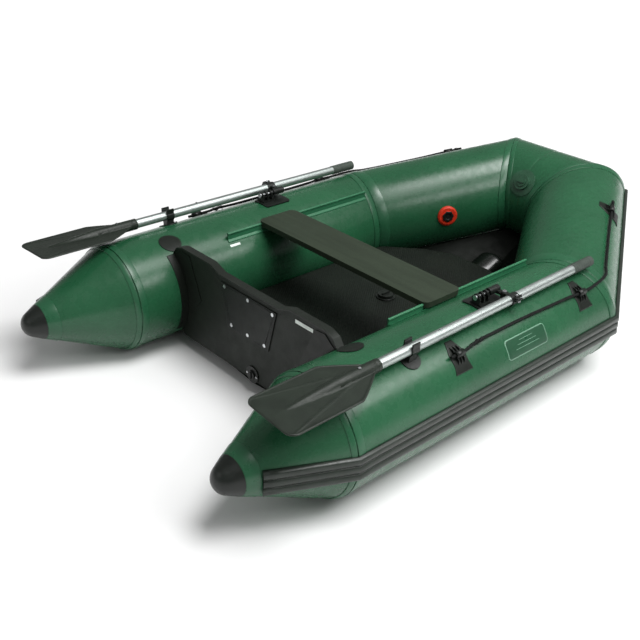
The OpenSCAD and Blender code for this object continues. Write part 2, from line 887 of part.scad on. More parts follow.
module eyes(side) {
  color(black) sided(side) union() {
    for (s = eye_s) on_side(s, eye_lean) eye();
    on_bow(eye_t, eye_lean) eye();
  }
}

// points of the lifeline on the port side, each on a tube at a height off its skin
function side_point(s, lean, h) = [at(s), yc + (tube_r + h) * sin(lean), tube_r + (tube_r + h) * cos(lean)];
function bow_point(t, lean, h) =
  kink_p + t * bow_d + (tube_r + h) * (sin(lean) * frame_y(bow_d) + cos(lean) * frame_z(bow_d));
off = tunnel_z - tube_r;
rope_route = [
  side_point(718, eye_lean, off), side_point(735, eye_lean, off), side_point(753, eye_lean, off),
  side_point(773, eye_lean, off), side_point(800, eye_lean - 1, off - 1), side_point(812, eye_lean - 2, off - 1),
  side_point(820, eye_lean - 2, off), side_point(860, eye_lean - 3, off), side_point(868, eye_lean - 3, off - 1),
  side_point(930, eye_lean - 3, off - 3), side_point(1050, eye_lean - 3, off - 3.5),
  side_point(1180, eye_lean - 2, off - 3.5), side_point(1290, eye_lean - 1, off - 2),
  side_point(1326, eye_lean, off), side_point(1348, eye_lean, off), side_point(1370, eye_lean, off),
  side_point(1410, eye_lean, off - 1), bow_point(0.03 * bow_len, eye_lean - 1, off + 2),
  bow_point(0.12 * bow_len, eye_lean, off - 2), bow_point(0.3 * bow_len, eye_lean, off - 3),
  bow_point(0.5 * bow_len, eye_lean, off - 2), bow_point(eye_t - 34, eye_lean, off),
  bow_point(eye_t - 20, eye_lean, off), bow_point(eye_t, eye_lean, off), bow_point(eye_t + 20, eye_lean, off),
  bow_point(eye_t + 27, eye_lean, off + 1.2), bow_point(eye_t + 50, eye_lean, off + 1.2),
  bow_point(eye_t + 56, eye_lean, off + 1)
];
// whippings and stopper knots, as the first and last route points that they cover
swellings = [[6, 7], [25, 26]];
knot_r = rope_r + 3.5;
function swollen(i) = len([for (k = swellings) if (i >= k[0] && i <= k[1]) 1]) > 0;

// a round tube swept along points
function ring_dir(pts, i) =
  let (a = pts[max(i - 1, 0)], b = pts[min(i + 1, len(pts) - 1)]) (b - a) / norm(b - a);
function ring_at(pts, i, r, n) =
  let (d = ring_dir(pts, i), y = frame_y(d), z = cross(d, y))
  [for (j = [0:n - 1]) pts[i] + r * (cos(j * 360 / n) * y + sin(j * 360 / n) * z)];

module rope(side) {
  n = 10;
  color(black) sided(side) lofted(
    [for (i = [0:len(rope_route) - 1]) ring_at(rope_route, i, swollen(i) ? knot_r : rope_r, n)]);
}

// ---- plain labels ----
module labels() {
  color(white) union() {
    sided(-1) on_side(1035, 58) skin_patch(1) rounded(190, 62, 12);
    sided(1) on_side(732, -46) skin_patch(1) rounded(42, 9, 2);
    translate([at(transom_s) - fit - 1, -(yc - 237) - 38, well_top - 14]) cube([1, 76, 12]);
  }
}

chamber(side_of("port"));  // chamber_port
chamber(side_of("stbd"));  // chamber_stbd
chamber_bow();
cap(side_of("port"));  // cap_port
cap(side_of("stbd"));  // cap_stbd
seams(side_of("port"));  // seams_port
seams(side_of("stbd"));  // seams_stbd
strake(side_of("port"));  // strake_port
strake(side_of("stbd"));  // strake_stbd
strake_bow();
bottom_skin();
keel_tube();
floor_deck();
floor_valve();
floor_cap();
floor_tether();
transom_board();
transom_trim();
transom_tape(side_of("port"));  // transom_tape_port
transom_tape(side_of("stbd"));  // transom_tape_stbd
motor_plate(at(transom_s) - fit - plate_t);
motor_plate(at(transom_s) + transom_t + fit);  // inner_plate
transom_screws();
drain_body();
drain_plug();
seat_board();
seat_rails();
blade(side_of("port"));  // blade_port
shaft_aft(side_of("port"));  // shaft_aft_port
shaft_fwd(side_of("port"));  // shaft_fwd_port
button(side_of("port"));  // button_port
grip(side_of("port"));  // grip_port
collar(side_of("port"));  // collar_port
oar_screws(side_of("port"));  // oar_screws_port
lock_base(side_of("port"));  // lock_base_port
lock_yoke(side_of("port"));  // lock_yoke_port
lock_pins(side_of("port"));  // lock_pins_port
swing_pin(side_of("port"));  // swing_pin_port
clip(side_of("port"));  // clip_port
blade(side_of("stbd"));  // blade_stbd
shaft_aft(side_of("stbd"));  // shaft_aft_stbd
shaft_fwd(side_of("stbd"));  // shaft_fwd_stbd
button(side_of("stbd"));  // button_stbd
grip(side_of("stbd"));  // grip_stbd
collar(side_of("stbd"));  // collar_stbd
oar_screws(side_of("stbd"));  // oar_screws_stbd
lock_base(side_of("stbd"));  // lock_base_stbd
lock_yoke(side_of("stbd"));  // lock_yoke_stbd
lock_pins(side_of("stbd"));  // lock_pins_stbd
swing_pin(side_of("stbd"));  // swing_pin_stbd
clip(side_of("stbd"));  // clip_stbd
valve_body();
valve_pin();
bow_valve();
bow_cap();
rope(side_of("port"));  // rope_port
rope(side_of("stbd"));  // rope_stbd
eyes(side_of("port"));  // eyes_port
eyes(side_of("stbd"));  // eyes_stbd
labels();
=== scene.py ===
"""The looks of an inflatable dinghy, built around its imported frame. All lengths are in metres."""
import math

import bmesh
import bpy
from mathutils import Matrix, Vector, noise


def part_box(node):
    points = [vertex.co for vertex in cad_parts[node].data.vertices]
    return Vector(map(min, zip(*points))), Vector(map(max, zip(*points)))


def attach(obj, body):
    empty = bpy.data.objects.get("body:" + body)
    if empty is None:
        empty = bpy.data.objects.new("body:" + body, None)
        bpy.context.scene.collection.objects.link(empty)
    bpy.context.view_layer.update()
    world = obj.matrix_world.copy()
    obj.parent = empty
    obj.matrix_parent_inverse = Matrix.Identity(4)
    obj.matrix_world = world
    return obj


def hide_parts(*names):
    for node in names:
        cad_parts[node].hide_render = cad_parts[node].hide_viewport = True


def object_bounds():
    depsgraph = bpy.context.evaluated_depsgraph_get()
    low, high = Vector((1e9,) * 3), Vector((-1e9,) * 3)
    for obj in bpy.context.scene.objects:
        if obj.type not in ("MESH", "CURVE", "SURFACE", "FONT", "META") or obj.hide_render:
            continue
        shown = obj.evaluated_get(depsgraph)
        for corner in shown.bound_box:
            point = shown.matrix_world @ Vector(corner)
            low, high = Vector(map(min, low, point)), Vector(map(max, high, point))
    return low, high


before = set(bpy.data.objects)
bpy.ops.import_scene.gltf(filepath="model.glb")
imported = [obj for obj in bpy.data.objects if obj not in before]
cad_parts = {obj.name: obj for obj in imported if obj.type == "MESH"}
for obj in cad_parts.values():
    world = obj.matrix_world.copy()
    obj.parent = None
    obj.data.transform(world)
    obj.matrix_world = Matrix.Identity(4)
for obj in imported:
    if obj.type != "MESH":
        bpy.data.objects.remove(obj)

cad_box = [list(corner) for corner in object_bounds()]

# ---- sizes shared with the frame ----
side_lo, side_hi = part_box("chamber_port")
TUBE_R = (side_hi.z - side_lo.z) / 2
YC = side_hi.y - TUBE_R
LOA = cad_box[1][0] - cad_box[0][0]
FIT = 0.0003
CONE_LEN = 0.320
CAP_LEN = 0.058
TIP_TAPE_END = 0.096
CONE_TIP_R = 0.043
BOW_TURN = math.radians(31.3)
BOW_RISE = math.radians(10.7)
STRAKE_H = 0.072
STRAKE_T = 0.010
ROPE_R = 0.005
PIN_LEAN = math.radians(5)
OAR_TOE = math.radians(0.8)

# ---- camera ----
CAMERA_AT = Vector((-2.146, -1.923, 1.635))
CAMERA_YAW = math.radians(43.88)
CAMERA_PITCH = math.radians(29.19)
CAMERA_ROLL = math.radians(2.81)
CAMERA_LENS = 52.06


def placed(name, data):
    """A new object in the scene."""
    made = bpy.data.objects.new(name, data)
    bpy.context.scene.collection.objects.link(made)
    return made


def make_camera():
    """The viewing angle: yaw from +Y towards +X, pitch down, and a slight roll."""
    look = Vector((
        math.sin(CAMERA_YAW) * math.cos(CAMERA_PITCH),
        math.cos(CAMERA_YAW) * math.cos(CAMERA_PITCH),
        -math.sin(CAMERA_PITCH),
    ))
    level = look.cross(Vector((0, 0, 1))).normalized()
    upright = level.cross(look)
    right = math.cos(CAMERA_ROLL) * level + math.sin(CAMERA_ROLL) * upright
    up = math.cos(CAMERA_ROLL) * upright - math.sin(CAMERA_ROLL) * level
    data = bpy.data.cameras.new("camera")
    data.lens = CAMERA_LENS
    data.sensor_width = 36
    camera = placed("camera", data)
    turn = Matrix((right, up, -look)).transposed().to_4x4()
    camera.matrix_world = Matrix.Translation(CAMERA_AT) @ turn
    bpy.context.scene.camera = camera


make_camera()


# ---- directions and frames along the hull tube, port side ----
def at(s):
    """The x of a station s, measured forward from the stern tips."""
    return s - LOA / 2


def frame_at(p, d):
    """A frame with X along d, Y level and to port, Z up."""
    x = Vector(d).normalized()
    y = Vector((-x.y, x.x, 0)).normalized()
    z = x.cross(y)
    turn = Matrix((x, y, z)).transposed().to_4x4()
    return Matrix.Translation(Vector(p)) @ turn


def bend_angle(d1, d2, d):
    """The angle that the outside of a bend makes with the horizontal of direction d."""
    bend = d1.cross(d2)
    base = frame_at((0, 0, 0), d)
    return math.atan2(bend.dot(base.col[1].to_3d()), -bend.dot(base.col[2].to_3d()))


NOSE_Y = YC * 0.31
BOW_RUN = (YC - NOSE_Y) / math.sin(BOW_TURN)
BOW_V = BOW_RUN * Vector((math.cos(BOW_TURN), -math.sin(BOW_TURN), math.tan(BOW_RISE)))
BOW_LEN = BOW_V.length
SIDE_D = Vector((1, 0, 0))
BOW_D = BOW_V.normalized()
NOSE_D = Vector((0, -1, 0))
BOW_N = (BOW_D + NOSE_D).normalized()
KINK_N = (SIDE_D + BOW_D).normalized()
BOW_ROLL = bend_angle(SIDE_D, BOW_D, BOW_D) - bend_angle(SIDE_D, BOW_D, SIDE_D)
NOSE_ROLL = BOW_ROLL + bend_angle(BOW_D, NOSE_D, NOSE_D) - bend_angle(BOW_D, NOSE_D, BOW_D)
NOSE_REACH = (TUBE_R + FIT + STRAKE_T) * math.cos(NOSE_ROLL) + STRAKE_H * 11 / 24 * math.sin(NOSE_ROLL)
BOW_P = Vector((LOA / 2 - NOSE_REACH, NOSE_Y, TUBE_R + BOW_V.z))
KINK_P = BOW_P - BOW_V
CONE_P = Vector((at(CONE_LEN), YC, TUBE_R))
CONE_APEX = CONE_TIP_R - CONE_TIP_R / math.sin(math.atan(TUBE_R / (CONE_LEN + 0.057)))
CONE_SLOPE = TUBE_R / (CONE_LEN - CONE_APEX)


def cone_r(s):
    """The radius of the stern cone at station s."""
    return (s - CONE_APEX) * CONE_SLOPE


def around(count):
    """Even angles round a circle."""
    return [2 * math.pi * k / count for k in range(count)]


def turned(angle, axis):
    return Matrix.Rotation(angle, 4, axis)


def on_side(s, lean):
    """A tube frame on the side tube: X forward, Z out through the skin at the lean."""
    return Matrix.Translation((at(s), YC, TUBE_R)) @ turned(-math.radians(lean), "X")


def on_bow(t, lean):
    """The same on the bow section, t along it from the bend."""
    return frame_at(KINK_P, BOW_D) @ Matrix.Translation((t, 0, 0)) @ turned(-math.radians(lean), "X")


class Section:
    """A straight run of tube between two planes, rolled so that one profile fits both sides of a bend."""

    def __init__(self, base, roll, first, last):
        self.frame = base @ turned(roll, "X")
        self.inverse = self.frame.inverted()
        self.first, self.last = [self.local(plane) for plane in (first, last)]

    def local(self, plane):
        point, normal = plane
        return self.inverse @ Vector(point), self.inverse.to_3x3() @ Vector(normal)

    def reach(self, plane, y, z):
        point, normal = plane
        return point.x + ((point.y - y) * normal.y + (point.z - z) * normal.z) / normal.x

    def span(self, y, z):
        """Where the line through (y, z) meets the two planes."""
        return self.reach(self.first, y, z), self.reach(self.last, y, z)

    def place(self, x, y, z):
        return self.frame @ Vector((x, y, z))


SIDE = Section(frame_at(CONE_P, SIDE_D), 0, (CONE_P, SIDE_D), (KINK_P, KINK_N))
BOW = Section(frame_at(KINK_P, BOW_D), BOW_ROLL, (KINK_P, KINK_N), (BOW_P, BOW_N))
NOSE = Section(
    frame_at((BOW_P.x, 0, BOW_P.z), NOSE_D), NOSE_ROLL, (BOW_P, BOW_N), ((BOW_P.x, 0, BOW_P.z), NOSE_D)
)


# ---- mesh helpers ----
def finish_mesh(name, verts, faces, material, uvs=None):
    """A smooth piece at the origin. uvs holds one pair for each corner of each face."""
    mesh = bpy.data.meshes.new(name)
    mesh.from_pydata([tuple(v) for v in verts], [], faces)
    if uvs:
        layer = mesh.uv_layers.new(name="surface")
        layer.data.foreach_set("uv", [c for pair in uvs for c in pair])
    mesh.materials.append(material)
    mesh.shade_smooth()
    mesh.update()
    return placed(name, mesh)


def grid_faces(rows, columns, wrap):
    """Faces and surface coordinates of a grid of rows of points, closed round each row if wrap is set."""
    steps = columns if wrap else columns - 1
    faces, corners = [], []
    for i in range(rows - 1):
        for k in range(steps):
            ends = [(i, k), (i, k + 1), (i + 1, k + 1), (i + 1, k)]
            faces.append([a * columns + b % columns for a, b in ends])
            corners.append(ends)
    return faces, corners


def ring_mesh(name, rings, material, closed_ends=True):
    """A tube over rings of points, with its surface coordinates in metres."""
    rows, columns = len(rings), len(rings[0])
    verts = [p for ring in rings for p in ring]
    faces, corners = grid_faces(rows, columns, True)
    along = [0.0]
    for a, b in zip(rings, rings[1:]):
        along.append(along[-1] + sum((q - p).length for p, q in zip(a, b)) / columns)
    middle = rings[rows // 2]
    girth = sum((middle[k] - middle[k - 1]).length for k in range(columns))
    uvs = [(along[i], k / columns * girth) for ends in corners for i, k in ends]
    if closed_ends:
        for ring, start, flip in ((rings[0], 0, True), (rings[-1], (rows - 1) * columns, False)):
            verts.append(sum(ring, Vector()) / columns)
            for k in range(columns):
                pair = [start + k, start + (k + 1) % columns]
                faces.append([len(verts) - 1] + (pair if flip else pair[::-1]))
                uvs += [(0, 0)] * 3
    piece = finish_mesh(name, verts, faces, material, uvs)
    face_out(piece)
    return piece


def face_out(piece):
    """Closes a piece where its ends meet and turns its faces outward."""
    work = bmesh.new()
    work.from_mesh(piece.data)
    bmesh.ops.remove_doubles(work, verts=work.verts, dist=1e-7)
    bmesh.ops.recalc_face_normals(work, faces=work.faces)
    work.to_mesh(piece.data)
    work.free()
    piece.data.update()


def shell_mesh(name, top, bottom, material):
    """A closed piece between two grids of points of the same size."""
    rows, columns = len(top), len(top[0])
    verts = [p for row in top for p in row] + [p for row in bottom for p in row]
    upper, corners = grid_faces(rows, columns, False)
    half = rows * columns
    faces = upper + [[half + v for v in reversed(face)] for face in upper]
    edge = list(range(columns))
    edge += [i * columns + columns - 1 for i in range(1, rows)]
    edge += [(rows - 1) * columns + k for k in range(columns - 2, -1, -1)]
    edge += [i * columns for i in range(rows - 2, 0, -1)]
    faces += [[a, b, half + b, half + a] for a, b in zip(edge, edge[1:] + edge[:1])]
    piece = finish_mesh(name, verts, faces, material)
    face_out(piece)
    return piece


def joined(name, pieces):
    """One piece made of several."""
    with bpy.context.temp_override(
        active_object=pieces[0], selected_editable_objects=pieces, object=pieces[0], selected_objects=pieces
    ):
        bpy.ops.object.join()
    pieces[0].name = name
    return pieces[0]


def mirrored(piece, name):
    """A copy of a port piece on the starboard side."""
    copy = piece.copy()
    copy.data = piece.data.copy()
    copy.name = name
    bpy.context.scene.collection.objects.link(copy)
    work = bmesh.new()
    work.from_mesh(copy.data)
    bmesh.ops.scale(work, vec=(1, -1, 1), verts=work.verts)
    bmesh.ops.reverse_faces(work, faces=work.faces)
    work.to_mesh(copy.data)
    work.free()
    return copy


def both_sides(name, build, replaced):
    """Builds the port piece and its mirror, each standing for its side's node and riding on the hull."""
    port = build(name + "_port")
    stbd = mirrored(port, name + "_stbd")
    for piece, side in ((port, "port"), (stbd, "stbd")):
        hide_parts(f"{replaced}_{side}")
        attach(piece, "hull")


def to_starboard(rings):
    """Rings of points on the other side, in the order that carries on round the bow."""
    return [[Vector((p.x, -p.y, p.z)) for p in ring] for ring in reversed(rings)]


# ---- node trees ----
class Graph:
    """A node tree that adds and links its nodes in one call."""

    def take(self, tree):
        self.nodes, self.links = tree.nodes, tree.links

    def add(self, kind, inputs=None, **settings):
        node = self.nodes.new(kind)
        for key, value in settings.items():
            setattr(node, key, value)
        for key, value in (inputs or {}).items():
            if isinstance(value, bpy.types.NodeSocket):
                self.links.new(value, node.inputs[key])
            else:
                node.inputs[key].default_value = value
        return node


# ---- materials ----
class Shader(Graph):
    """Builds one procedural material on Object coordinates."""

    def __init__(self, name, color, roughness, metallic=0.0, specular=0.5):
        self.material = bpy.data.materials.new(name)
        self.material.use_nodes = True
        self.take(self.material.node_tree)
        self.surface = self.nodes["Principled BSDF"]
        self.surface.inputs["Metallic"].default_value = metallic
        self.surface.inputs["Roughness"].default_value = roughness
        self.surface.inputs["Specular IOR Level"].default_value = specular
        self.surface.inputs["Base Color"].default_value = (*color, 1)
        self.color = color
        self.place = self.add("ShaderNodeTexCoord").outputs["Object"]
        self.height = None

    def stretched(self, scale):
        """Object coordinates scaled by axis, for a grain that runs one way."""
        return self.add("ShaderNodeMapping", {"Vector": self.place, "Scale": scale}).outputs["Vector"]

    def noise(self, scale, detail=3.0, where=None):
        values = {"Vector": where or self.place, "Scale": scale, "Detail": detail}
        return self.add("ShaderNodeTexNoise", values).outputs["Fac"]

    def ranged(self, value, low, high, start=0.3, end=0.7):
        values = {"Value": value, "From Min": start, "From Max": end, "To Min": low, "To Max": high}
        return self.add("ShaderNodeMapRange", values).outputs["Result"]

    def tint(self, value, shades, start=0.3, end=0.7):
        """Colour that varies with value from darker to lighter shades of the base colour."""
        ramp = self.add("ShaderNodeValToRGB", {"Fac": value})
        for stop, place, shade in zip(ramp.color_ramp.elements, (start, end), shades):
            stop.position = place
            stop.color = (*[min(1.0, c * shade) for c in self.color], 1)
        return ramp.outputs["Color"]

    def colored(self, socket):
        self.links.new(socket, self.surface.inputs["Base Color"])
        return self

    def roughened(self, socket):
        self.links.new(socket, self.surface.inputs["Roughness"])
        return self

    def raised(self, value, distance, strength=1.0):
        """Adds a layer of relief, distance in metres."""
        values = {"Height": value, "Distance": distance, "Strength": strength}
        if self.height is not None:
            values["Normal"] = self.height
        self.height = self.add("ShaderNodeBump", values).outputs["Normal"]
        self.links.new(self.height, self.surface.inputs["Normal"])
        return self


def linear(red, green, blue):
    """A colour given as seen, 0 to 255, made linear."""
    seen = [c / 255 for c in (red, green, blue)]
    return [c / 12.92 if c <= 0.04045 else ((c + 0.055) / 1.055) ** 2.4 for c in seen]


def coated_fabric(name, color, roughness, relief=0.00006, gloss=0.45):
    """Welded boat fabric: a plastic coat over a fine weave, slightly uneven and rubbed."""
    made = Shader(name, color, roughness, specular=gloss)
    clouds = made.noise(5.0, 5.0)
    scuffs = made.noise(38.0, 6.0)
    made.colored(made.tint(clouds, (0.86, 1.13)))
    made.roughened(made.ranged(scuffs, roughness - 0.05, roughness + 0.07))
    for axis in ("X", "Z"):
        weave = made.add("ShaderNodeTexWave", {
            "Vector": made.place, "Scale": 260.0, "Distortion": 0.6, "Detail": 1.0,
        }, bands_direction=axis)
        made.raised(weave.outputs["Fac"], relief * 0.25, 0.35)
    made.raised(made.noise(420.0, 2.0), relief, 0.5)
    made.raised(made.noise(9.0, 1.0), relief * 6, 0.35)
    return made.material


def moulded(name, color, roughness, grain=0.00015, specular=0.28):
    """Moulded plastic or rubber with a fine spark-eroded grain and rubbed high spots."""
    made = Shader(name, color, roughness, specular=specular)
    made.colored(made.tint(made.noise(22.0, 5.0), (0.82, 1.2)))
    made.roughened(made.ranged(made.noise(120.0, 4.0), roughness - 0.06, roughness + 0.08))
    cells = made.add("ShaderNodeTexVoronoi", {"Vector": made.place, "Scale": 900.0})
    made.raised(cells.outputs["Distance"], grain, 0.4)
    made.raised(made.noise(60.0, 2.0), grain * 2, 0.4)
    return made.material


def faced_board(name, color, roughness, run):
    """Plywood with a hard textured coat; run scales the grain along each axis."""
    made = Shader(name, color, roughness, specular=0.22)
    grain = made.noise(1.0, 6.0, made.stretched(run))
    made.colored(made.tint(grain, (0.84, 1.16)))
    made.roughened(made.ranged(made.noise(26.0, 5.0), roughness - 0.06, roughness + 0.08))
    made.raised(grain, 0.0003, 0.25)
    pebbles = made.add("ShaderNodeTexVoronoi", {"Vector": made.place, "Scale": 560.0})
    made.raised(pebbles.outputs["Distance"], 0.0003, 0.4)
    return made.material


def drawn_metal(name, color, roughness, run):
    """Metal with fine lines along or round it and a little oxide."""
    made = Shader(name, color, roughness, metallic=1.0)
    lines = made.noise(1.0, 4.0, made.stretched(run))
    made.colored(made.tint(made.noise(14.0, 5.0), (0.9, 1.06)))
    made.roughened(made.ranged(lines, roughness - 0.07, roughness + 0.1))
    made.raised(lines, 0.00003, 0.15)
    return made.material


def braided(name, color):
    """Dull filament yarn of a rope's strands."""
    made = Shader(name, color, 0.62, specular=0.2)
    made.colored(made.tint(made.noise(240.0, 4.0), (0.6, 1.5)))
    made.roughened(made.ranged(made.noise(500.0, 2.0), 0.5, 0.8))
    made.raised(made.noise(1400.0, 2.0), 0.0002, 0.6)
    return made.material


def floor_fabric(name, color, roughness):
    """Hard-wearing floor fabric with a pressed diamond tread."""
    made = Shader(name, color, roughness, specular=0.2)
    made.colored(made.tint(made.noise(9.0, 6.0), (0.75, 1.3)))
    made.roughened(made.ranged(made.noise(70.0, 4.0), roughness - 0.05, roughness + 0.1))
    for turn in (0.9, -0.9):
        across = made.add("ShaderNodeMapping", {"Vector": made.place, "Rotation": (0, 0, turn)})
        ridges = made.add("ShaderNodeTexWave", {
            "Vector": across.outputs["Vector"], "Scale": 42.0, "Distortion": 0.2,
        }, bands_direction="X")
        made.raised(ridges.outputs["Fac"], 0.0011, 0.55)
    made.raised(made.noise(500.0, 2.0), 0.0001, 0.4)
    return made.material


def stage_paper():
    """The plain pale sweep that the boat stands on, lit evenly into the distance."""
    made = Shader("pale_sweep", (0.86, 0.86, 0.86), 0.9, specular=0.1)
    reach = made.add("ShaderNodeVectorMath", {0: made.place}, operation="LENGTH").outputs["Value"]
    glow = made.ranged(reach, 0.0, 0.55, 1.3, 4.5)
    made.surface.inputs["Emission Color"].default_value = (1, 1, 1, 1)
    made.links.new(glow, made.surface.inputs["Emission Strength"])
    made.raised(made.noise(30.0, 2.0), 0.0002, 0.1)
    return made.material


HULL = coated_fabric("hull_green_fabric", linear(31, 80, 52), 0.27)
TAPE = coated_fabric("seam_tape_fabric", linear(33, 83, 55), 0.29)
# The seat rails use the hull's green painted lighter: painted light for the light that falls on the rails.
LIT_RAIL = coated_fabric("seat_rail_fabric_painted_light", linear(44, 104, 72), 0.34)
PATCH = coated_fabric("black_patch_fabric", linear(19, 24, 19), 0.42, gloss=0.25)
# The bottom fabric is its own near-black, darkened further as painted shade for the dark region at the bow
# ahead of the floor.
BOTTOM_BLACK_AND_SHADE = coated_fabric("bottom_fabric_and_painted_shade", linear(13, 17, 13), 0.55, gloss=0.08)
KEEL = coated_fabric("keel_fabric", linear(13, 17, 14), 0.24)
FLOOR = floor_fabric("floor_fabric", linear(17, 22, 17), 0.50)
STRAKE = moulded("rub_strake_rubber", linear(36, 43, 37), 0.34, specular=0.4)
CAP = moulded("cone_cap_rubber", linear(16, 21, 17), 0.36, specular=0.4)
LOCK = moulded("lock_plastic", linear(17, 21, 18), 0.36, specular=0.35)
BLADE = moulded("blade_plastic", linear(30, 37, 30), 0.42)
GRIP = moulded("grip_foam", linear(62, 70, 64), 0.60, grain=0.0003)
TRIM = moulded("trim_plastic", linear(26, 31, 26), 0.42)
VALVE_RED = moulded("valve_red_plastic", linear(190, 48, 26), 0.38)
VALVE_GREY = moulded("valve_grey_plastic", linear(42, 78, 57), 0.30, specular=0.5)
BOARD = faced_board("transom_board_coat", linear(21, 27, 21), 0.46, (6, 40, 40))
PLATE = faced_board("motor_plate_coat", linear(18, 23, 19), 0.42, (6, 40, 40))
SEAT = faced_board("seat_board_coat", linear(43, 52, 40), 0.50, (60, 4, 60))
ALLOY = drawn_metal("oar_alloy", linear(176, 184, 181), 0.42, (3, 60, 60))
STEEL = drawn_metal("screw_steel", linear(205, 208, 210), 0.25, (700, 700, 700))
ROPE = braided("lifeline_yarn", linear(13, 16, 14))
VINYL = moulded("label_vinyl", linear(214, 222, 216), 0.32, grain=0.00005)
BADGE = coated_fabric("badge_fabric", linear(28, 70, 47), 0.32)
PRINT = moulded("badge_print", linear(104, 142, 120), 0.36, grain=0.00005)


# ---- hull skin ----
ROUND = 128
CREASE = 0.0016
PUCKER = 0.0026


def steps(first, last, fine, coarse):
    """Places from first to last, close together at both ends and wide apart between."""
    places, x, gap = [first], first, fine
    half = (first + last) / 2
    while x + gap < half:
        x += gap
        places.append(x)
        gap = min(coarse, gap * 1.25)
    return places + [first + last - p for p in reversed(places)]


def pinch(distance, angle, bend, seed):
    """How far the skin draws in near a seam: a crease, and puckers that are deepest inside the bend."""
    crease = CREASE * math.exp(-distance / 0.006)
    wave = noise.noise(Vector((math.cos(angle) * 5.5, math.sin(angle) * 5.5, seed)))
    fine = noise.noise(Vector((math.cos(angle) * 14, math.sin(angle) * 14, seed + 7)))
    inside = 0.35 + 0.65 * max(0.0, -math.sin(angle)) * bend
    return crease + PUCKER * inside * (0.55 + wave + 0.5 * fine) * math.exp(-distance / 0.045)


def sag(point):
    """Slow unevenness of an inflated skin."""
    return 0.0006 * noise.noise(point * 4.0)


def section_rings(section, bends):
    """Rings of skin over a straight section; bends says how sharp the bend at each end is."""
    rings = []
    for share in steps(0.0, 1.0, 0.006, 0.035):
        ring = []
        for angle in around(ROUND):
            y, z = math.sin(angle), math.cos(angle)
            first, last = section.span(TUBE_R * y, TUBE_R * z)
            x = first + (last - first) * share
            drawn = pinch(x - first, angle, bends[0], 1) + pinch(last - x, angle, bends[1], 2)
            r = TUBE_R - max(0.0, drawn) + sag(section.place(x, TUBE_R * y, TUBE_R * z)) - 0.0003
            ring.append(section.place(x, r * y, r * z))
        rings.append(ring)
    return rings


def cone_rings():
    """Rings of skin over the stern cone, rounded a little where it meets the tube."""
    rings = []
    for s in steps(CAP_LEN + FIT, CONE_LEN - 0.004, 0.003, 0.012):
        ring = []
        near = math.exp(-(CONE_LEN - s) / 0.012)
        for angle in around(ROUND):
            drawn = pinch(CONE_LEN - s, angle, 0, 3) + 0.3 * pinch(s - CAP_LEN, angle, 0, 4)
            r = cone_r(s) - max(0.0, drawn) - 0.0012 * near - 0.0003
            ring.append(Vector((at(s), YC + r * math.sin(angle), TUBE_R + r * math.cos(angle))))
        rings.append(ring)
    return rings


def hull_skins():
    """The three air chambers' skins, standing for the CAD chambers."""
    port = ring_mesh("skin_port", cone_rings() + section_rings(SIDE, (0, 1)), HULL)
    stbd = mirrored(port, "skin_stbd")
    half = section_rings(BOW, (1, 1)) + section_rings(NOSE, (1, 0))[:-1]
    middle = section_rings(NOSE, (1, 0))[-1]
    bow = ring_mesh("skin_bow", half + [middle] + to_starboard(half), HULL)
    for piece, node in ((port, "chamber_port"), (stbd, "chamber_stbd"), (bow, "chamber_bow")):
        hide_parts(node)
        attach(piece, "hull")


hull_skins()


# ---- welded seam tapes ----
TAPE_T = 0.0012


def tape_profile(width):
    """Places across a tape and their heights, rolled down at both edges."""
    edge = 0.0016
    return [(0, -0.0006), (0.0003, TAPE_T * 0.7), (edge, TAPE_T), (width - edge, TAPE_T),
            (width - 0.0003, TAPE_T * 0.7), (width, -0.0006)]


def tape(name, section, end, width, offset=0.0005):
    """A tape round the tube beside one of a section's planes: end is 0 or 1."""
    rings = []
    for x, lift in tape_profile(width):
        ring = []
        for angle in around(ROUND):
            y, z = math.sin(angle), math.cos(angle)
            first, last = section.span(TUBE_R * y, TUBE_R * z)
            place = first + offset + x if end == 0 else last - offset - x
            ring.append(section.place(place, (TUBE_R + lift) * y, (TUBE_R + lift) * z))
        rings.append(ring)
    return tape_band(name, rings)


def cone_tape(name, s0, s1):
    rings = []
    for x, lift in tape_profile(s1 - s0):
        r = cone_r(s0 + x) + lift
        rings.append([
            Vector((at(s0 + x), YC + r * math.sin(a), TUBE_R + r * math.cos(a))) for a in around(ROUND)
        ])
    return tape_band(name, rings)


def tape_band(name, rings):
    return ring_mesh(name, rings + [rings[0]], TAPE, closed_ends=False)


def seam_tapes(name):
    """All the tapes of one side as one piece."""
    return joined(name, [
        cone_tape("tape_tip", CAP_LEN + FIT, TIP_TAPE_END),
        cone_tape("tape_cone", CONE_LEN - 0.017, CONE_LEN - 0.002),
        tape("tape_tube", SIDE, 0, 0.024, 0.001),
        tape("tape_bend_aft", SIDE, 1, 0.028),
        tape("tape_bend_fwd", BOW, 0, 0.040),
        tape("tape_bow_aft", BOW, 1, 0.028),
        tape("tape_bow_fwd", NOSE, 0, 0.020),
    ])


both_sides("seam_tapes", seam_tapes, "seams")


# ---- rub strake ----
def strake_outline(back_r):
    """The strake's section as (y, z) about the tube's axis: three rounded ribs and a hollow back."""
    half, pitch = STRAKE_H / 2, STRAKE_H / 3
    valley = STRAKE_T * 0.40
    base = TUBE_R + FIT
    front = []
    for k in range(61):
        z = -half + STRAKE_H * k / 60
        crest = abs(math.cos(math.pi * z / pitch)) ** 0.55
        lift = valley + (STRAKE_T - valley) * crest
        edge = min(1.0, (half - abs(z)) / 0.004)
        front.append((base + lift * (0.25 + 0.75 * math.sqrt(max(0.0, edge))), z))
    back = []
    for k in range(13):
        z = half - STRAKE_H * k / 12
        back.append((base - 0.0012 - (back_r - math.sqrt(back_r ** 2 - z ** 2)), z))
    return front + back


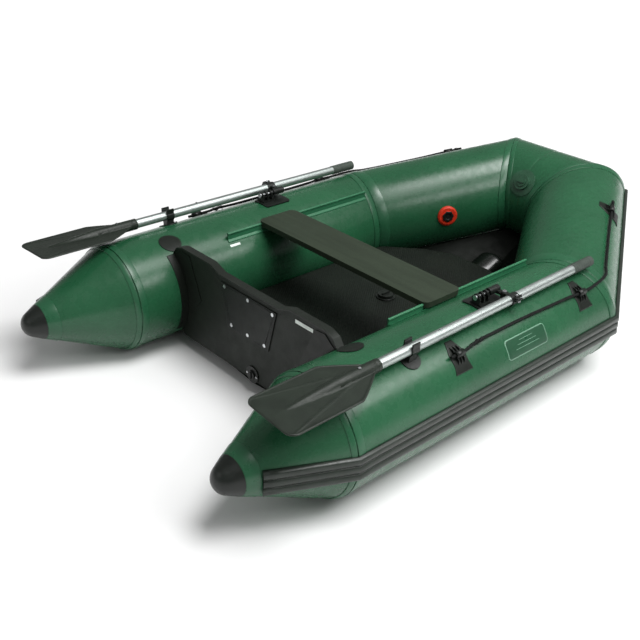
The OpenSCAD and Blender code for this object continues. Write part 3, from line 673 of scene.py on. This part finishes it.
def rub_strake():
    """One strip right round the boat, mitred at each bend."""
    start = Vector((at(TIP_TAPE_END) + FIT, YC + cone_r(TIP_TAPE_END) + FIT, TUBE_R))
    knee = Vector((CONE_P.x, YC + TUBE_R, TUBE_R))
    cone_d = (knee - start).normalized()
    knee_n = (SIDE_D + cone_d).normalized()
    cone_base = frame_at(start, cone_d) @ Matrix.Translation((0, -TUBE_R, 0))
    cone = Section(cone_base, 0, (start, cone_d), (knee, knee_n))
    side = Section(frame_at(CONE_P, SIDE_D), 0, (knee, knee_n), (KINK_P, KINK_N))
    rings = []
    runs = ((cone, 0.105, 6), (side, TUBE_R, 16), (BOW, TUBE_R, 10), (NOSE, TUBE_R, 4))
    for section, back_r, count in runs:
        for i in range(0 if section is cone else 1, count + 1):
            share = i / count
            back = back_r + (TUBE_R - back_r) * share
            outline = strake_outline(back)
            ring = []
            for y, z in outline:
                first, last = section.span(y, z)
                ring.append(section.place(first + (last - first) * share, y, z))
            rings.append(ring)
    strip = ring_mesh("rub_strake", rings + to_starboard(rings[:-1]), STRAKE)
    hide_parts("strake_port", "strake_stbd", "strake_bow")
    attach(strip, "hull")


rub_strake()


# ---- patches on the tubes ----
def patch(name, base, y0, y1, half_width, thick, material, lift=0.0, radius=TUBE_R):
    """A welded patch round the tube from y0 to y1, half_width(y) wide each way, with rolled edges."""
    rows, columns = 41, 33
    top, under = [], []
    for i in range(rows):
        y = y0 + (y1 - y0) * (0.5 - 0.5 * math.cos(math.pi * i / (rows - 1)))
        wide = max(half_width(y), 0.0002)
        upper, lower = [], []
        for k in range(columns):
            x = wide * math.sin(math.pi * (k / (columns - 1) - 0.5))
            edge = min(wide - abs(x), y - y0, y1 - y)
            r = radius + lift + thick * math.sqrt(min(1.0, max(0.0, edge) / 0.0025))
            angle = y / radius
            upper.append(base @ Vector((x, r * math.sin(angle), r * math.cos(angle))))
            r = radius + lift - 0.0008
            lower.append(base @ Vector((x, r * math.sin(angle), r * math.cos(angle))))
        top.append(upper)
        under.append(lower)
    return shell_mesh(name, top, under, material)


def block(half_x, half_y, r):
    """Half width of a rectangle with corners of radius r."""
    def width(y):
        past = max(0.0, abs(y) - (half_y - r))
        return half_x - r + math.sqrt(max(0.0, r * r - past * past))
    return width


# ---- turned and swept shapes ----
def turned_piece(name, base, outline, material, count, closed_ends=True):
    """A shape turned about the base's X axis from (x, radius) corners."""
    rings = []
    for x, r in outline:
        r = max(r, 0.00005)
        rings.append([base @ Vector((x, r * math.cos(a), r * math.sin(a))) for a in around(count)])
    return ring_mesh(name, rings, material, closed_ends)


def softened(corners, r):
    """An outline with each corner cut back twice, so that it catches the light."""
    made = [corners[0]]
    for a, b, c in zip(corners, corners[1:], corners[2:]):
        a, b, c = Vector(a), Vector(b), Vector(c)
        back = (a - b).normalized() * min(r, (a - b).length * 0.4)
        ahead = (c - b).normalized() * min(r, (c - b).length * 0.4)
        made += [tuple(b + back), tuple(b + (back + ahead) * 0.29), tuple(b + ahead)]
    return made + [corners[-1]]


def slab(name, base, outline, z0, z1, material, edge=0.001, taper=1.0):
    """A flat block over an outline of (x, y) corners, with its edges rounded; taper scales the top."""
    verts = [base @ Vector((x, y, z0)) for x, y in outline]
    verts += [base @ Vector((x * taper, y * taper, z1)) for x, y in outline]
    n = len(outline)
    faces = [list(range(n)), [n + i for i in range(n)]]
    faces += [[i, (i + 1) % n, n + (i + 1) % n, n + i] for i in range(n)]
    piece = finish_mesh(name, verts, faces, material)
    face_out(piece)
    round_edges(piece, edge)
    return applied(piece)


def round_edges(piece, width):
    bevel = piece.modifiers.new("edges", "BEVEL")
    bevel.width = width
    bevel.segments = 2
    bevel.limit_method = "ANGLE"
    bevel.angle_limit = math.radians(32)
    normals = piece.modifiers.new("normals", "WEIGHTED_NORMAL")
    normals.keep_sharp = False
    return piece


def weld_up(piece):
    """Merges the loose triangles of a CAD mesh."""
    weld = piece.modifiers.new("weld", "WELD")
    weld.merge_threshold = 0.00001


def drop_cad_shading(mesh):
    """Takes off the shading marks that a CAD mesh comes with."""
    for spare in ("custom_normal", "sharp_edge", "sharp_face"):
        if spare in mesh.attributes:
            mesh.attributes.remove(mesh.attributes[spare])


def applied(piece):
    """The piece with its modifiers made part of its mesh."""
    bpy.context.view_layer.update()
    seen = piece.evaluated_get(bpy.context.evaluated_depsgraph_get())
    mesh = bpy.data.meshes.new_from_object(seen)
    piece.modifiers.clear()
    piece.data = mesh
    return piece


# ---- geometry nodes ----
class Tree(Graph):
    """A geometry node tree with named inputs."""

    def __init__(self, name, sizes):
        self.group = bpy.data.node_groups.new(name, "GeometryNodeTree")
        self.take(self.group)
        face = self.group.interface
        face.new_socket("Geometry", in_out="INPUT", socket_type="NodeSocketGeometry")
        for label, (kind, value) in sizes.items():
            socket = face.new_socket(label, in_out="INPUT", socket_type=kind)
            if value is not None:
                socket.default_value = value
        face.new_socket("Geometry", in_out="OUTPUT", socket_type="NodeSocketGeometry")
        self.start = self.nodes.new("NodeGroupInput").outputs
        self.end = self.nodes.new("NodeGroupOutput").inputs

    def math(self, operation, a, b=0.0):
        node = self.add("ShaderNodeMath", {0: a, 1: b}, operation=operation)
        return node.outputs[0]

    def close(self, geometry):
        """Ends the tree in real geometry with its material."""
        real = self.add("GeometryNodeRealizeInstances", {"Geometry": geometry}).outputs[0]
        smooth = self.add("GeometryNodeSetShadeSmooth", {"Geometry": real}).outputs[0]
        values = {"Geometry": smooth, "Material": self.start["Material"]}
        made = self.add("GeometryNodeSetMaterial", values).outputs[0]
        self.links.new(made, self.end["Geometry"])
        return self.group


def run_tree(name, host, group, values):
    """A plain mesh made by a tree over a host object, which is then removed."""
    modifier = host.modifiers.new("tree", "NODES")
    modifier.node_group = group
    for item in group.interface.items_tree:
        if item.item_type == "SOCKET" and item.in_out == "INPUT" and item.name in values:
            modifier[item.identifier] = values[item.name]
    bpy.context.view_layer.update()
    seen = host.evaluated_get(bpy.context.evaluated_depsgraph_get())
    mesh = bpy.data.meshes.new_from_object(seen)
    mesh.name = name
    bpy.data.objects.remove(host)
    return placed(name, mesh)


def lay_tree():
    """Strands laid round a line at a steady pitch, rising and dipping as they cross."""
    tree = Tree("laid strands", {
        "Strands": ("NodeSocketInt", 4), "Lay radius": ("NodeSocketFloat", 0.004),
        "Strand radius": ("NodeSocketFloat", 0.0015), "Pitch": ("NodeSocketFloat", 0.03),
        "Weave": ("NodeSocketFloat", 0.0004), "Phase": ("NodeSocketFloat", 0.0),
        "Step": ("NodeSocketFloat", 0.003), "Material": ("NodeSocketMaterial", None),
    })
    start = tree.start
    values = {"Curve": start["Geometry"], "Length": start["Step"]}
    line = tree.add("GeometryNodeResampleCurve", values, mode="LENGTH")
    values = {"Geometry": line.outputs[0], "Amount": start["Strands"]}
    copies = tree.add("GeometryNodeDuplicateElements", values, domain="SPLINE")
    along = tree.add("GeometryNodeSplineParameter").outputs["Length"]
    share = tree.math("DIVIDE", copies.outputs["Duplicate Index"], start["Strands"])
    turns = tree.math("ADD", tree.math("DIVIDE", along, start["Pitch"]), share)
    angle = tree.math("MULTIPLY", turns, 2 * math.pi)
    crossing = tree.math("ADD", tree.math("MULTIPLY", angle, start["Strands"]), start["Phase"])
    dip = tree.math("MULTIPLY", tree.math("SINE", crossing), start["Weave"])
    out = tree.math("ADD", start["Lay radius"], dip)
    values = {
        "Vector": tree.add("GeometryNodeInputNormal").outputs[0],
        "Axis": tree.add("GeometryNodeInputTangent").outputs[0], "Angle": angle,
    }
    ray = tree.add("ShaderNodeVectorRotate", values, rotation_type="AXIS_ANGLE")
    offset = tree.add("ShaderNodeVectorMath", {0: ray.outputs[0], "Scale": out}, operation="SCALE")
    values = {"Geometry": copies.outputs["Geometry"], "Offset": offset.outputs[0]}
    laid = tree.add("GeometryNodeSetPosition", values)
    ring = tree.add("GeometryNodeCurvePrimitiveCircle", {"Resolution": 6, "Radius": start["Strand radius"]})
    values = {"Curve": laid.outputs[0], "Profile Curve": ring.outputs["Curve"], "Fill Caps": True}
    return tree.close(tree.add("GeometryNodeCurveToMesh", values).outputs[0])


LAY = lay_tree()


def line_object(points):
    """A smooth line through points."""
    curve = bpy.data.curves.new("line", "CURVE")
    curve.dimensions = "3D"
    spline = curve.splines.new("POLY")
    smooth = smoothed(points, 8)
    spline.points.add(len(smooth) - 1)
    for place, p in zip(spline.points, smooth):
        place.co = (*p, 1)
    return placed("line", curve)


def smoothed(points, parts):
    """Points of a Catmull-Rom curve through the given ones."""
    made = []
    for i in range(len(points) - 1):
        p0, p1 = points[max(i - 1, 0)], points[i]
        p2, p3 = points[i + 1], points[min(i + 2, len(points) - 1)]
        for k in range(parts):
            t = k / parts
            made.append(0.5 * (
                2 * p1 + (p2 - p0) * t + (2 * p0 - 5 * p1 + 4 * p2 - p3) * t ** 2
                + (3 * p1 - 3 * p2 + p3 - p0) * t ** 3
            ))
    return made + [points[-1]]


def strands(name, points, count, lay, radius, pitch, weave=0.0, phase=0.0, step=0.003, material=ROPE):
    values = {
        "Strands": count, "Lay radius": lay, "Strand radius": radius, "Pitch": pitch,
        "Weave": weave, "Phase": phase, "Step": step, "Material": material,
    }
    return run_tree(name, line_object(points), LAY, values)


# ---- lifelines ----
EYE_LEAN = 40
EYE_S = (0.753, 1.348)
EYE_T = 0.66 * BOW_LEN
TUNNEL_R = ROPE_R + 0.0022
OFF = FIT + 0.003 + TUNNEL_R


SIDE_STEPS = (  # station, change of lean in degrees, change of height
    (0.718, 0, 0), (0.735, 0, 0), (0.753, 0, 0), (0.773, 0, 0), (0.800, -1, -0.001), (0.812, -2, -0.001),
    (0.820, -2, 0), (0.860, -3, 0), (0.868, -3, -0.001), (0.930, -3, -0.003), (1.050, -3, -0.0035),
    (1.180, -2, -0.0035), (1.290, -1, -0.002), (1.326, 0, 0), (1.348, 0, 0), (1.370, 0, 0),
    (1.410, 0, -0.001),
)
BOW_STEPS = (  # place along the bow section, change of lean in degrees, change of height
    (0.03 * BOW_LEN, -1, 0.002), (0.12 * BOW_LEN, 0, -0.002), (0.3 * BOW_LEN, 0, -0.003),
    (0.5 * BOW_LEN, 0, -0.002), (EYE_T - 0.034, 0, 0), (EYE_T - 0.020, 0, 0), (EYE_T, 0, 0),
    (EYE_T + 0.020, 0, 0), (EYE_T + 0.027, 0, 0.0012), (EYE_T + 0.050, 0, 0.0012), (EYE_T + 0.056, 0, 0.001),
)
LIFELINE = [
    tube_frame(place, EYE_LEAN + lean) @ Vector((0, 0, TUBE_R + (OFF + rise)))
    for tube_frame, places in ((on_side, SIDE_STEPS), (on_bow, BOW_STEPS))
    for place, lean, rise in places
]
WHIPPINGS = ((6, 8), (25, 27))


def lifeline(name):
    """A braided rope: a core, strands laid both ways over it, and whippings."""
    core = strands("core", LIFELINE, 1, 0.0, ROPE_R - 0.0012, 1.0)
    right = strands("laid_right", LIFELINE, 6, ROPE_R - 0.0013, 0.0012, 0.026, 0.0003, 0.0)
    left = strands("laid_left", LIFELINE, 6, ROPE_R - 0.0013, 0.0012, -0.026, 0.0003, math.pi)
    made = [core, right, left]
    for first, last in WHIPPINGS:
        stretch = LIFELINE[first:last]
        made.append(strands("whipping", stretch, 1, ROPE_R + 0.0014, 0.0017, 0.0035, step=0.0012))
    return joined(name, made)


both_sides("lifeline", lifeline, "rope")


# ---- lifeline eyes ----
def eye(name, base):
    """A pressed patch with a moulded saddle and a hooded sleeve for the rope."""
    pad = patch(name, base, -0.048, 0.052, eye_flare, 0.0024, PATCH)
    z = TUBE_R + OFF
    sleeve = [(-0.017, TUNNEL_R), (-0.017, TUNNEL_R + 0.003), (0.017, TUNNEL_R + 0.003), (0.017, TUNNEL_R),
              (-0.017, TUNNEL_R)]
    hood = turned_piece("sleeve", base @ Matrix.Translation((0, 0, z)), sleeve, LOCK, 40, False)
    foot = [(-0.022, -0.030), (0.022, -0.030), (0.022, 0.030), (-0.022, 0.030)]
    saddle = slab("saddle", base, foot, TUBE_R - 0.004, z - TUNNEL_R + 0.001, LOCK, 0.0015, 0.42)
    ribs = [
        slab("rib", base @ Matrix.Translation((x, 0, 0)), [(-0.0015, -0.034), (0.0015, -0.034),
             (0.0015, 0.034), (-0.0015, 0.034)], TUBE_R - 0.004, z - 0.001, LOCK, 0.0006, 0.5)
        for x in (-0.012, 0.0, 0.012)
    ]
    return joined(name, [pad, hood, saddle] + ribs)


def eye_flare(y):
    """Half width of the eye's patch: wide at its upper end, pointed at its lower end."""
    if y > 0.030:
        return 0.030 + 0.006 * (y - 0.030) / 0.022
    if y > -0.010:
        return 0.030
    return 0.030 - 0.016 * ((-0.010 - y) / 0.038) ** 0.9


def eyes(name):
    places = [on_side(s, EYE_LEAN) for s in EYE_S] + [on_bow(EYE_T, EYE_LEAN)]
    return joined(name, [eye(f"{name}_{i}", place) for i, place in enumerate(places)])


both_sides("eyes", eyes, "eyes")


# ---- oars: moulded blades ----
PIN_S = 1.047
PIN_OUT = 0.040
PIN_UP = 0.021
SHAFT_OUT = 0.030


def oar_frame():
    """X along the port oar from its swing pin forward, Z along the pin."""
    pin = Vector((at(PIN_S), YC + PIN_OUT, 2 * TUBE_R + PIN_UP))
    lean = Matrix.Translation(pin) @ turned(-PIN_LEAN, "X") @ turned(-OAR_TOE, "Z")
    return lean @ Matrix.Translation((0, SHAFT_OUT, 0))


BLADE_TIP = -0.952
BLADE_NECK = -0.576
BLADE_HALF = 0.088
TIP_CORNER = 0.026
STRAIGHT_END = 0.236
SPINE_START = 0.060
SOCKET_R = 0.0185


def blade_half(x):
    """Half width of the blade: rounded tip corners, straight sides, then shoulders down to the neck."""
    run = x - BLADE_TIP
    if run < TIP_CORNER:
        corner = math.sqrt(max(0.0, TIP_CORNER ** 2 - (TIP_CORNER - run) ** 2))
        return BLADE_HALF - 0.030 + corner + 0.004 * run / TIP_CORNER
    if run < STRAIGHT_END:
        return BLADE_HALF
    share = min(1.0, (run - STRAIGHT_END) / (BLADE_NECK - 0.024 - BLADE_TIP - STRAIGHT_END))
    return BLADE_HALF + (0.0180 - BLADE_HALF) * (share ** 1.12)


def blade_height(x, y, half):
    """How thick the blade is each side of its middle: thin web, rolled rim, two ribs and a growing spine."""
    run = x - BLADE_TIP
    edge = max(0.0, half - abs(y))
    web = 0.0017 + 0.0010 * max(0.0, 1 - abs(y) / BLADE_HALF)
    rim = 0.0011 * math.exp(-((edge - 0.004) / 0.0026) ** 2)
    spine_r = 0.004 + (SOCKET_R - 0.004) * min(1.0, max(0.0, (run - SPINE_START) / 0.166))
    ridge = math.sqrt(max(0.0, spine_r ** 2 - y * y)) if run > SPINE_START else 0.0
    off = abs(y) - 0.235 * (BLADE_NECK - 0.02 - x)
    ribs = 0.0011 * math.exp(-(off / 0.0022) ** 2)
    body = web + rim + ribs * min(1.0, edge / 0.012)
    soft = 0.0015
    rise = 0.5 * (body + ridge + math.sqrt((body - ridge) ** 2 + soft ** 2)) if ridge else body
    return min(0.0188, rise) * math.sqrt(min(1.0, edge / 0.0022 + 0.02))


def blade_piece(name):
    base = oar_frame()
    rows, columns = 130, 61
    top, under = [], []
    for i in range(rows):
        x = BLADE_TIP + (BLADE_NECK - 0.018 - BLADE_TIP) * (i / (rows - 1))
        half = blade_half(x)
        upper, lower = [], []
        for k in range(columns):
            lead = 2 * k / (columns - 1) - 1
            y = half * math.sin(lead * math.pi / 2)
            h = blade_height(x, y, half) if 0 < i < rows - 1 else 0.0004
            upper.append(base @ Vector((x, y, h)))
            lower.append(base @ Vector((x, y, -h)))
        top.append(upper)
        under.append(lower)
    web = shell_mesh(name, top, under, BLADE)
    bore, groove = 0.01575, 0.0180
    corners = (
        (0.110, 0), (0.110, bore), (0, bore), (0, SOCKET_R), (0.012, SOCKET_R), (0.013, groove),
        (0.016, groove), (0.017, SOCKET_R), (0.150, SOCKET_R), (0.150, 0),
    )
    collar = [(BLADE_NECK - back, r) for back, r in corners]
    socket = turned_piece("socket", base, softened(collar, 0.0007), BLADE, 64)
    return joined(name, [web, socket])


def blades():
    port = blade_piece("oar_blade_port")
    stbd = mirrored(port, "oar_blade_stbd")
    for piece, side in ((port, "port"), (stbd, "stbd")):
        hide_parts(f"blade_{side}")
        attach(piece, f"oar_{side}")


blades()


# ---- floor, bottom skin and keel ----
def soft_copy(name, node, material, voxel, rounds, relief):
    """A soft piece grown from a CAD solid: its own mesh, rounded at every edge and a little uneven."""
    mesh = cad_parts[node].data.copy()
    mesh.name = name
    drop_cad_shading(mesh)
    piece = placed(name, mesh)
    weld_up(piece)
    remesh = piece.modifiers.new("remesh", "REMESH")
    remesh.mode = "VOXEL"
    remesh.voxel_size = voxel
    remesh.use_smooth_shade = True
    smooth = piece.modifiers.new("smooth", "SMOOTH")
    smooth.factor = 0.5
    smooth.iterations = rounds
    applied(piece)
    piece.data.materials.clear()
    piece.data.materials.append(material)
    places = [(vert.co.copy(), vert.normal.copy()) for vert in piece.data.vertices]
    moved = []
    for co, normal in places:
        wave = noise.noise(co * 6) + 0.4 * noise.noise(co * 17)
        moved.extend(co - normal * relief * (0.7 + 0.5 * wave))
    piece.data.vertices.foreach_set("co", moved)
    piece.data.shade_smooth()
    piece.data.update()
    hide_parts(node)
    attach(piece, "hull")
    return piece


soft_copy("air_floor", "floor_deck", FLOOR, 0.0055, 8, 0.0007)


def bottom_rows():
    """Edge points of the bottom skin from stern to bow: (x, half width, edge height, keel height)."""
    drop = (TUBE_R + FIT + 0.0025) * math.sin(math.pi / 4)
    base = frame_at((0, 0, 0), BOW_D)
    down = base.col[1].to_3d() + base.col[2].to_3d()
    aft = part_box("bottom_skin")[0].x
    edge = KINK_P - drop * down
    rows = [(aft, YC - drop, TUBE_R - drop, 0.008), (edge.x - 0.020, YC - drop, TUBE_R - drop, 0.008)]
    for share, keel in ((0.3, 0.008), (0.6, 0.040), (0.8, 0.100), (0.9, 0.136), (1.0, 0.164)):
        p = edge + share * BOW_LEN * BOW_D
        rows.append((p.x, p.y, p.z, keel))
    return rows


def bottom_cloth():
    rows = bottom_rows()
    top, under = [], []
    for i in range(len(rows) - 1):
        for k in range(10 if i < len(rows) - 2 else 11):
            t = k / 10
            x, y, z, keel = [a + (b - a) * t for a, b in zip(rows[i], rows[i + 1])]
            upper, lower = [], []
            for j in range(49):
                side = 2 * j / 48 - 1
                across = abs(side)
                flat = (z + keel) / 2 - 0.004
                if across < 0.5:
                    height = keel + (flat - keel) * across * 2
                else:
                    height = flat + (z - flat) * (across - 0.5) * 2
                wave = 0.0005 * noise.noise(Vector((x * 5, side * y * 5, 3)))
                lower.append(Vector((x, side * y, height + 0.0004 + wave)))
                upper.append(Vector((x, side * y, height + 0.0026 + wave)))
            top.append(upper)
            under.append(lower)
    cloth = shell_mesh("bottom_cloth", top, under, BOTTOM_BLACK_AND_SHADE)
    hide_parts("bottom_skin")
    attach(cloth, "hull")


DECK_LOW = 0.085
KEEL_BEND_S = 1.590


def keel_bladder():
    """The inflated keel: a tube under the floor that turns up at its forward end and closes in a dome."""
    lo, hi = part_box("keel_tube")
    r = (hi.y - lo.y) / 2
    middle = DECK_LOW - r - FIT
    bend = Vector((at(KEEL_BEND_S) + 0.010, 0, middle))
    tip = Vector((at(KEEL_BEND_S) + 0.125, 0, 0.093))
    back = Vector((lo.x, 0, middle))
    up_d = (tip - bend).normalized()
    path = [(back, 0.25), (back + Vector((0.004, 0, 0)), 0.8), (back + Vector((0.012, 0, 0)), 0.985)]
    path += [(back.lerp(bend, k / 30), 0.985) for k in range(1, 31)]
    path += [(bend.lerp(tip, k / 8), 0.985) for k in range(1, 9)]
    for a in range(8, 88, 8):
        dome = math.radians(a)
        path.append((tip + r * math.sin(dome) * up_d, 0.985 * math.cos(dome)))
    rings = []
    for i, (p, share) in enumerate(path):
        ahead = path[min(i + 1, len(path) - 1)][0] - path[max(i - 1, 0)][0]
        base = frame_at(p, ahead)
        run = min(1.0, max(0.0, (p.x - bend.x - 0.004) / 0.060))
        spread = 1 + 0.75 * run * run * (3 - 2 * run)
        ring = []
        for a in around(48):
            ring.append(base @ Vector((0, spread * share * r * math.sin(a), share * r * math.cos(a))))
        rings.append(ring)
    bladder = ring_mesh("keel_bladder", rings, KEEL)
    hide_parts("keel_tube")
    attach(bladder, "hull")


bottom_cloth()
keel_bladder()


# ---- valve insert ----
def lobed_ring(base, radius, lobe, count, z):
    """Points round an axis along the base's Z, with rounded lobes."""
    ring = []
    for a in around(96):
        r = radius + lobe * math.cos(count * a)
        ring.append(base @ Vector((r * math.cos(a), r * math.sin(a), z)))
    return ring


def valve_insert():
    """The black lobed seat inside the red ring, open in the middle for the spring pin."""
    base = on_bow(0.49 * BOW_LEN, -87) @ Matrix.Translation((0, 0, TUBE_R))
    steps_out = [
        (0.0098, 0.0, 0.0042), (0.0098, 0.0, 0.0106), (0.0106, 0.0002, 0.0116), (0.0150, 0.0008, 0.0124),
        (0.0196, 0.0013, 0.0126), (0.0212, 0.0014, 0.0120), (0.0214, 0.0014, 0.0111), (0.0168, 0.0, 0.0111),
        (0.0168, 0.0, 0.0042),
    ]
    rings = [lobed_ring(base, r, lobe, 7, z) for r, lobe, z in steps_out]
    insert = ring_mesh("valve_insert", rings + [rings[0]], LOCK, closed_ends=False)
    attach(insert, "hull")


valve_insert()


# ---- plain marks in place of lettering ----
def marks():
    """A two-part plain badge, a small tag on the other side and a plate tag, none with any lettering."""
    badge_at = on_side(1.035, 58)
    rim = patch("badge_rim", badge_at, -0.031, 0.031, block(0.095, 0.031, 0.012), 0.0011, PRINT)
    field = patch("badge_field", badge_at, -0.0292, 0.0292, block(0.0932, 0.0292, 0.0105), 0.0016, BADGE)
    bars = [
        patch(f"badge_bar_{k}", badge_at, y - 0.0022, y + 0.0022,
              block(0.060 - 0.012 * k, 0.0022, 0.002), 0.0020, PRINT)
        for k, y in enumerate((0.008, -0.004, -0.016))
    ]
    starboard = mirrored(joined("badge", [rim, field] + bars), "side_marks")
    bpy.data.objects.remove(bpy.data.objects["badge"])
    outline = block(0.021, 0.0045, 0.002)
    small = patch("small_tag", on_side(0.732, -46), -0.0045, 0.0045, outline, 0.0009, VINYL)
    y0 = -(YC - 0.237) - 0.038
    outline = [(y0, -0.006), (y0 + 0.076, -0.006), (y0 + 0.076, 0.006), (y0, 0.006)]
    plate_at = Matrix.Translation((at(0.500) - FIT, 0, 2 * TUBE_R - 0.018))
    face = plate_at @ turned(math.pi / 2, "Z") @ turned(math.pi / 2, "X")
    tag = slab("plate_tag", face, outline, -0.0009, -0.00005, VINYL, 0.0003)
    made = joined("side_marks", [starboard, small, tag])
    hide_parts("labels")
    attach(made, "hull")


marks()


# ---- CAD pieces that keep their shape ----
CAD_LOOKS = {  # (finish, edge radius): the nodes, or pairs of nodes, that have it
    (CAP, 0.0006): "cap",
    (LOCK, 0.0003): "floor_tether",
    (LOCK, 0.0006): "valve_pin clip",
    (LOCK, 0.0008): "floor_valve floor_cap drain_body drain_plug collar lock_base lock_yoke",
    (BOARD, 0.0012): "transom_board",
    (TRIM, 0.0012): "transom_trim",
    (PATCH, 0.0005): "transom_tape",
    (PLATE, 0.0010): "motor_plate inner_plate",
    (STEEL, 0.0004): "transom_screws button oar_screws lock_pins swing_pin",
    (SEAT, 0.0018): "seat_board",
    (LIT_RAIL, 0.0008): "seat_rails",
    (VALVE_RED, 0.0007): "valve_body",
    (VALVE_GREY, 0.0008): "bow_valve bow_cap",
    (ALLOY, 0.0003): "shaft_aft shaft_fwd",
    (GRIP, 0.0005): "grip",
}


def dress(piece, material, edge):
    """A CAD piece's own material, softened edges and clean shading."""
    drop_cad_shading(piece.data)
    piece.data.polygons.foreach_set("use_smooth", [True] * len(piece.data.polygons))
    for place in piece.material_slots:
        place.material = material
    weld_up(piece)
    round_edges(piece, edge)
    piece.modifiers["edges"].angle_limit = math.radians(28)


def dress_all():
    looks = {name: look for look, names in CAD_LOOKS.items() for name in names.split()}
    for node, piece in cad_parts.items():
        look = looks.get(node) or looks.get(node.rsplit("_", 1)[0])
        if look and not piece.hide_render:
            dress(piece, *look)


dress_all()


# ---- light, sweep and background ----
def soft_box(name, place, target, size, power, color=(1, 1, 1)):
    data = bpy.data.lights.new(name, "AREA")
    data.shape = "RECTANGLE"
    data.size, data.size_y = size
    data.energy = power
    data.color = color
    light = placed(name, data)
    aim = (Vector(target) - Vector(place)).to_track_quat("-Z", "Y")
    light.matrix_world = Matrix.Translation(place) @ aim.to_matrix().to_4x4()


def high_sun(name, toward, strength, spread):
    """A far, broad light that reaches the whole sweep evenly."""
    data = bpy.data.lights.new(name, "SUN")
    data.energy = strength
    data.angle = math.radians(spread)
    light = placed(name, data)
    light.matrix_world = Vector(toward).to_track_quat("Z", "Y").to_matrix().to_4x4()


def studio():
    world = bpy.data.worlds.new("studio")
    world.use_nodes = True
    backdrop = world.node_tree.nodes["Background"]
    backdrop.inputs["Color"].default_value = (0.97, 0.97, 0.97, 1)
    backdrop.inputs["Strength"].default_value = 0.26
    bpy.context.scene.world = world
    high_sun("key", (0.30, -0.55, 1.7), 2.15, 30)
    soft_box("main_box", (0.5, -1.9, 2.1), (0.0, -0.5, 0.3), (2.6, 0.80), 36)
    soft_box("top_box", (0.3, -0.5, 2.5), (0, 0.3, 0.3), (2.6, 1.00), 24)
    soft_box("fill_box", (-3.0, 0.4, 1.6), (-0.2, 0, 0.2), (1.4, 1.2), 5)
    far = 80
    corners = [(-far, -far, 0), (far, -far, 0), (far, far, 0), (-far, far, 0)]
    sweep = finish_mesh("sweep", corners, [[0, 1, 2, 3]], stage_paper())
    bpy.context.scene.view_settings.view_transform = "Standard"
    bpy.context.scene.view_settings.look = "None"


studio()
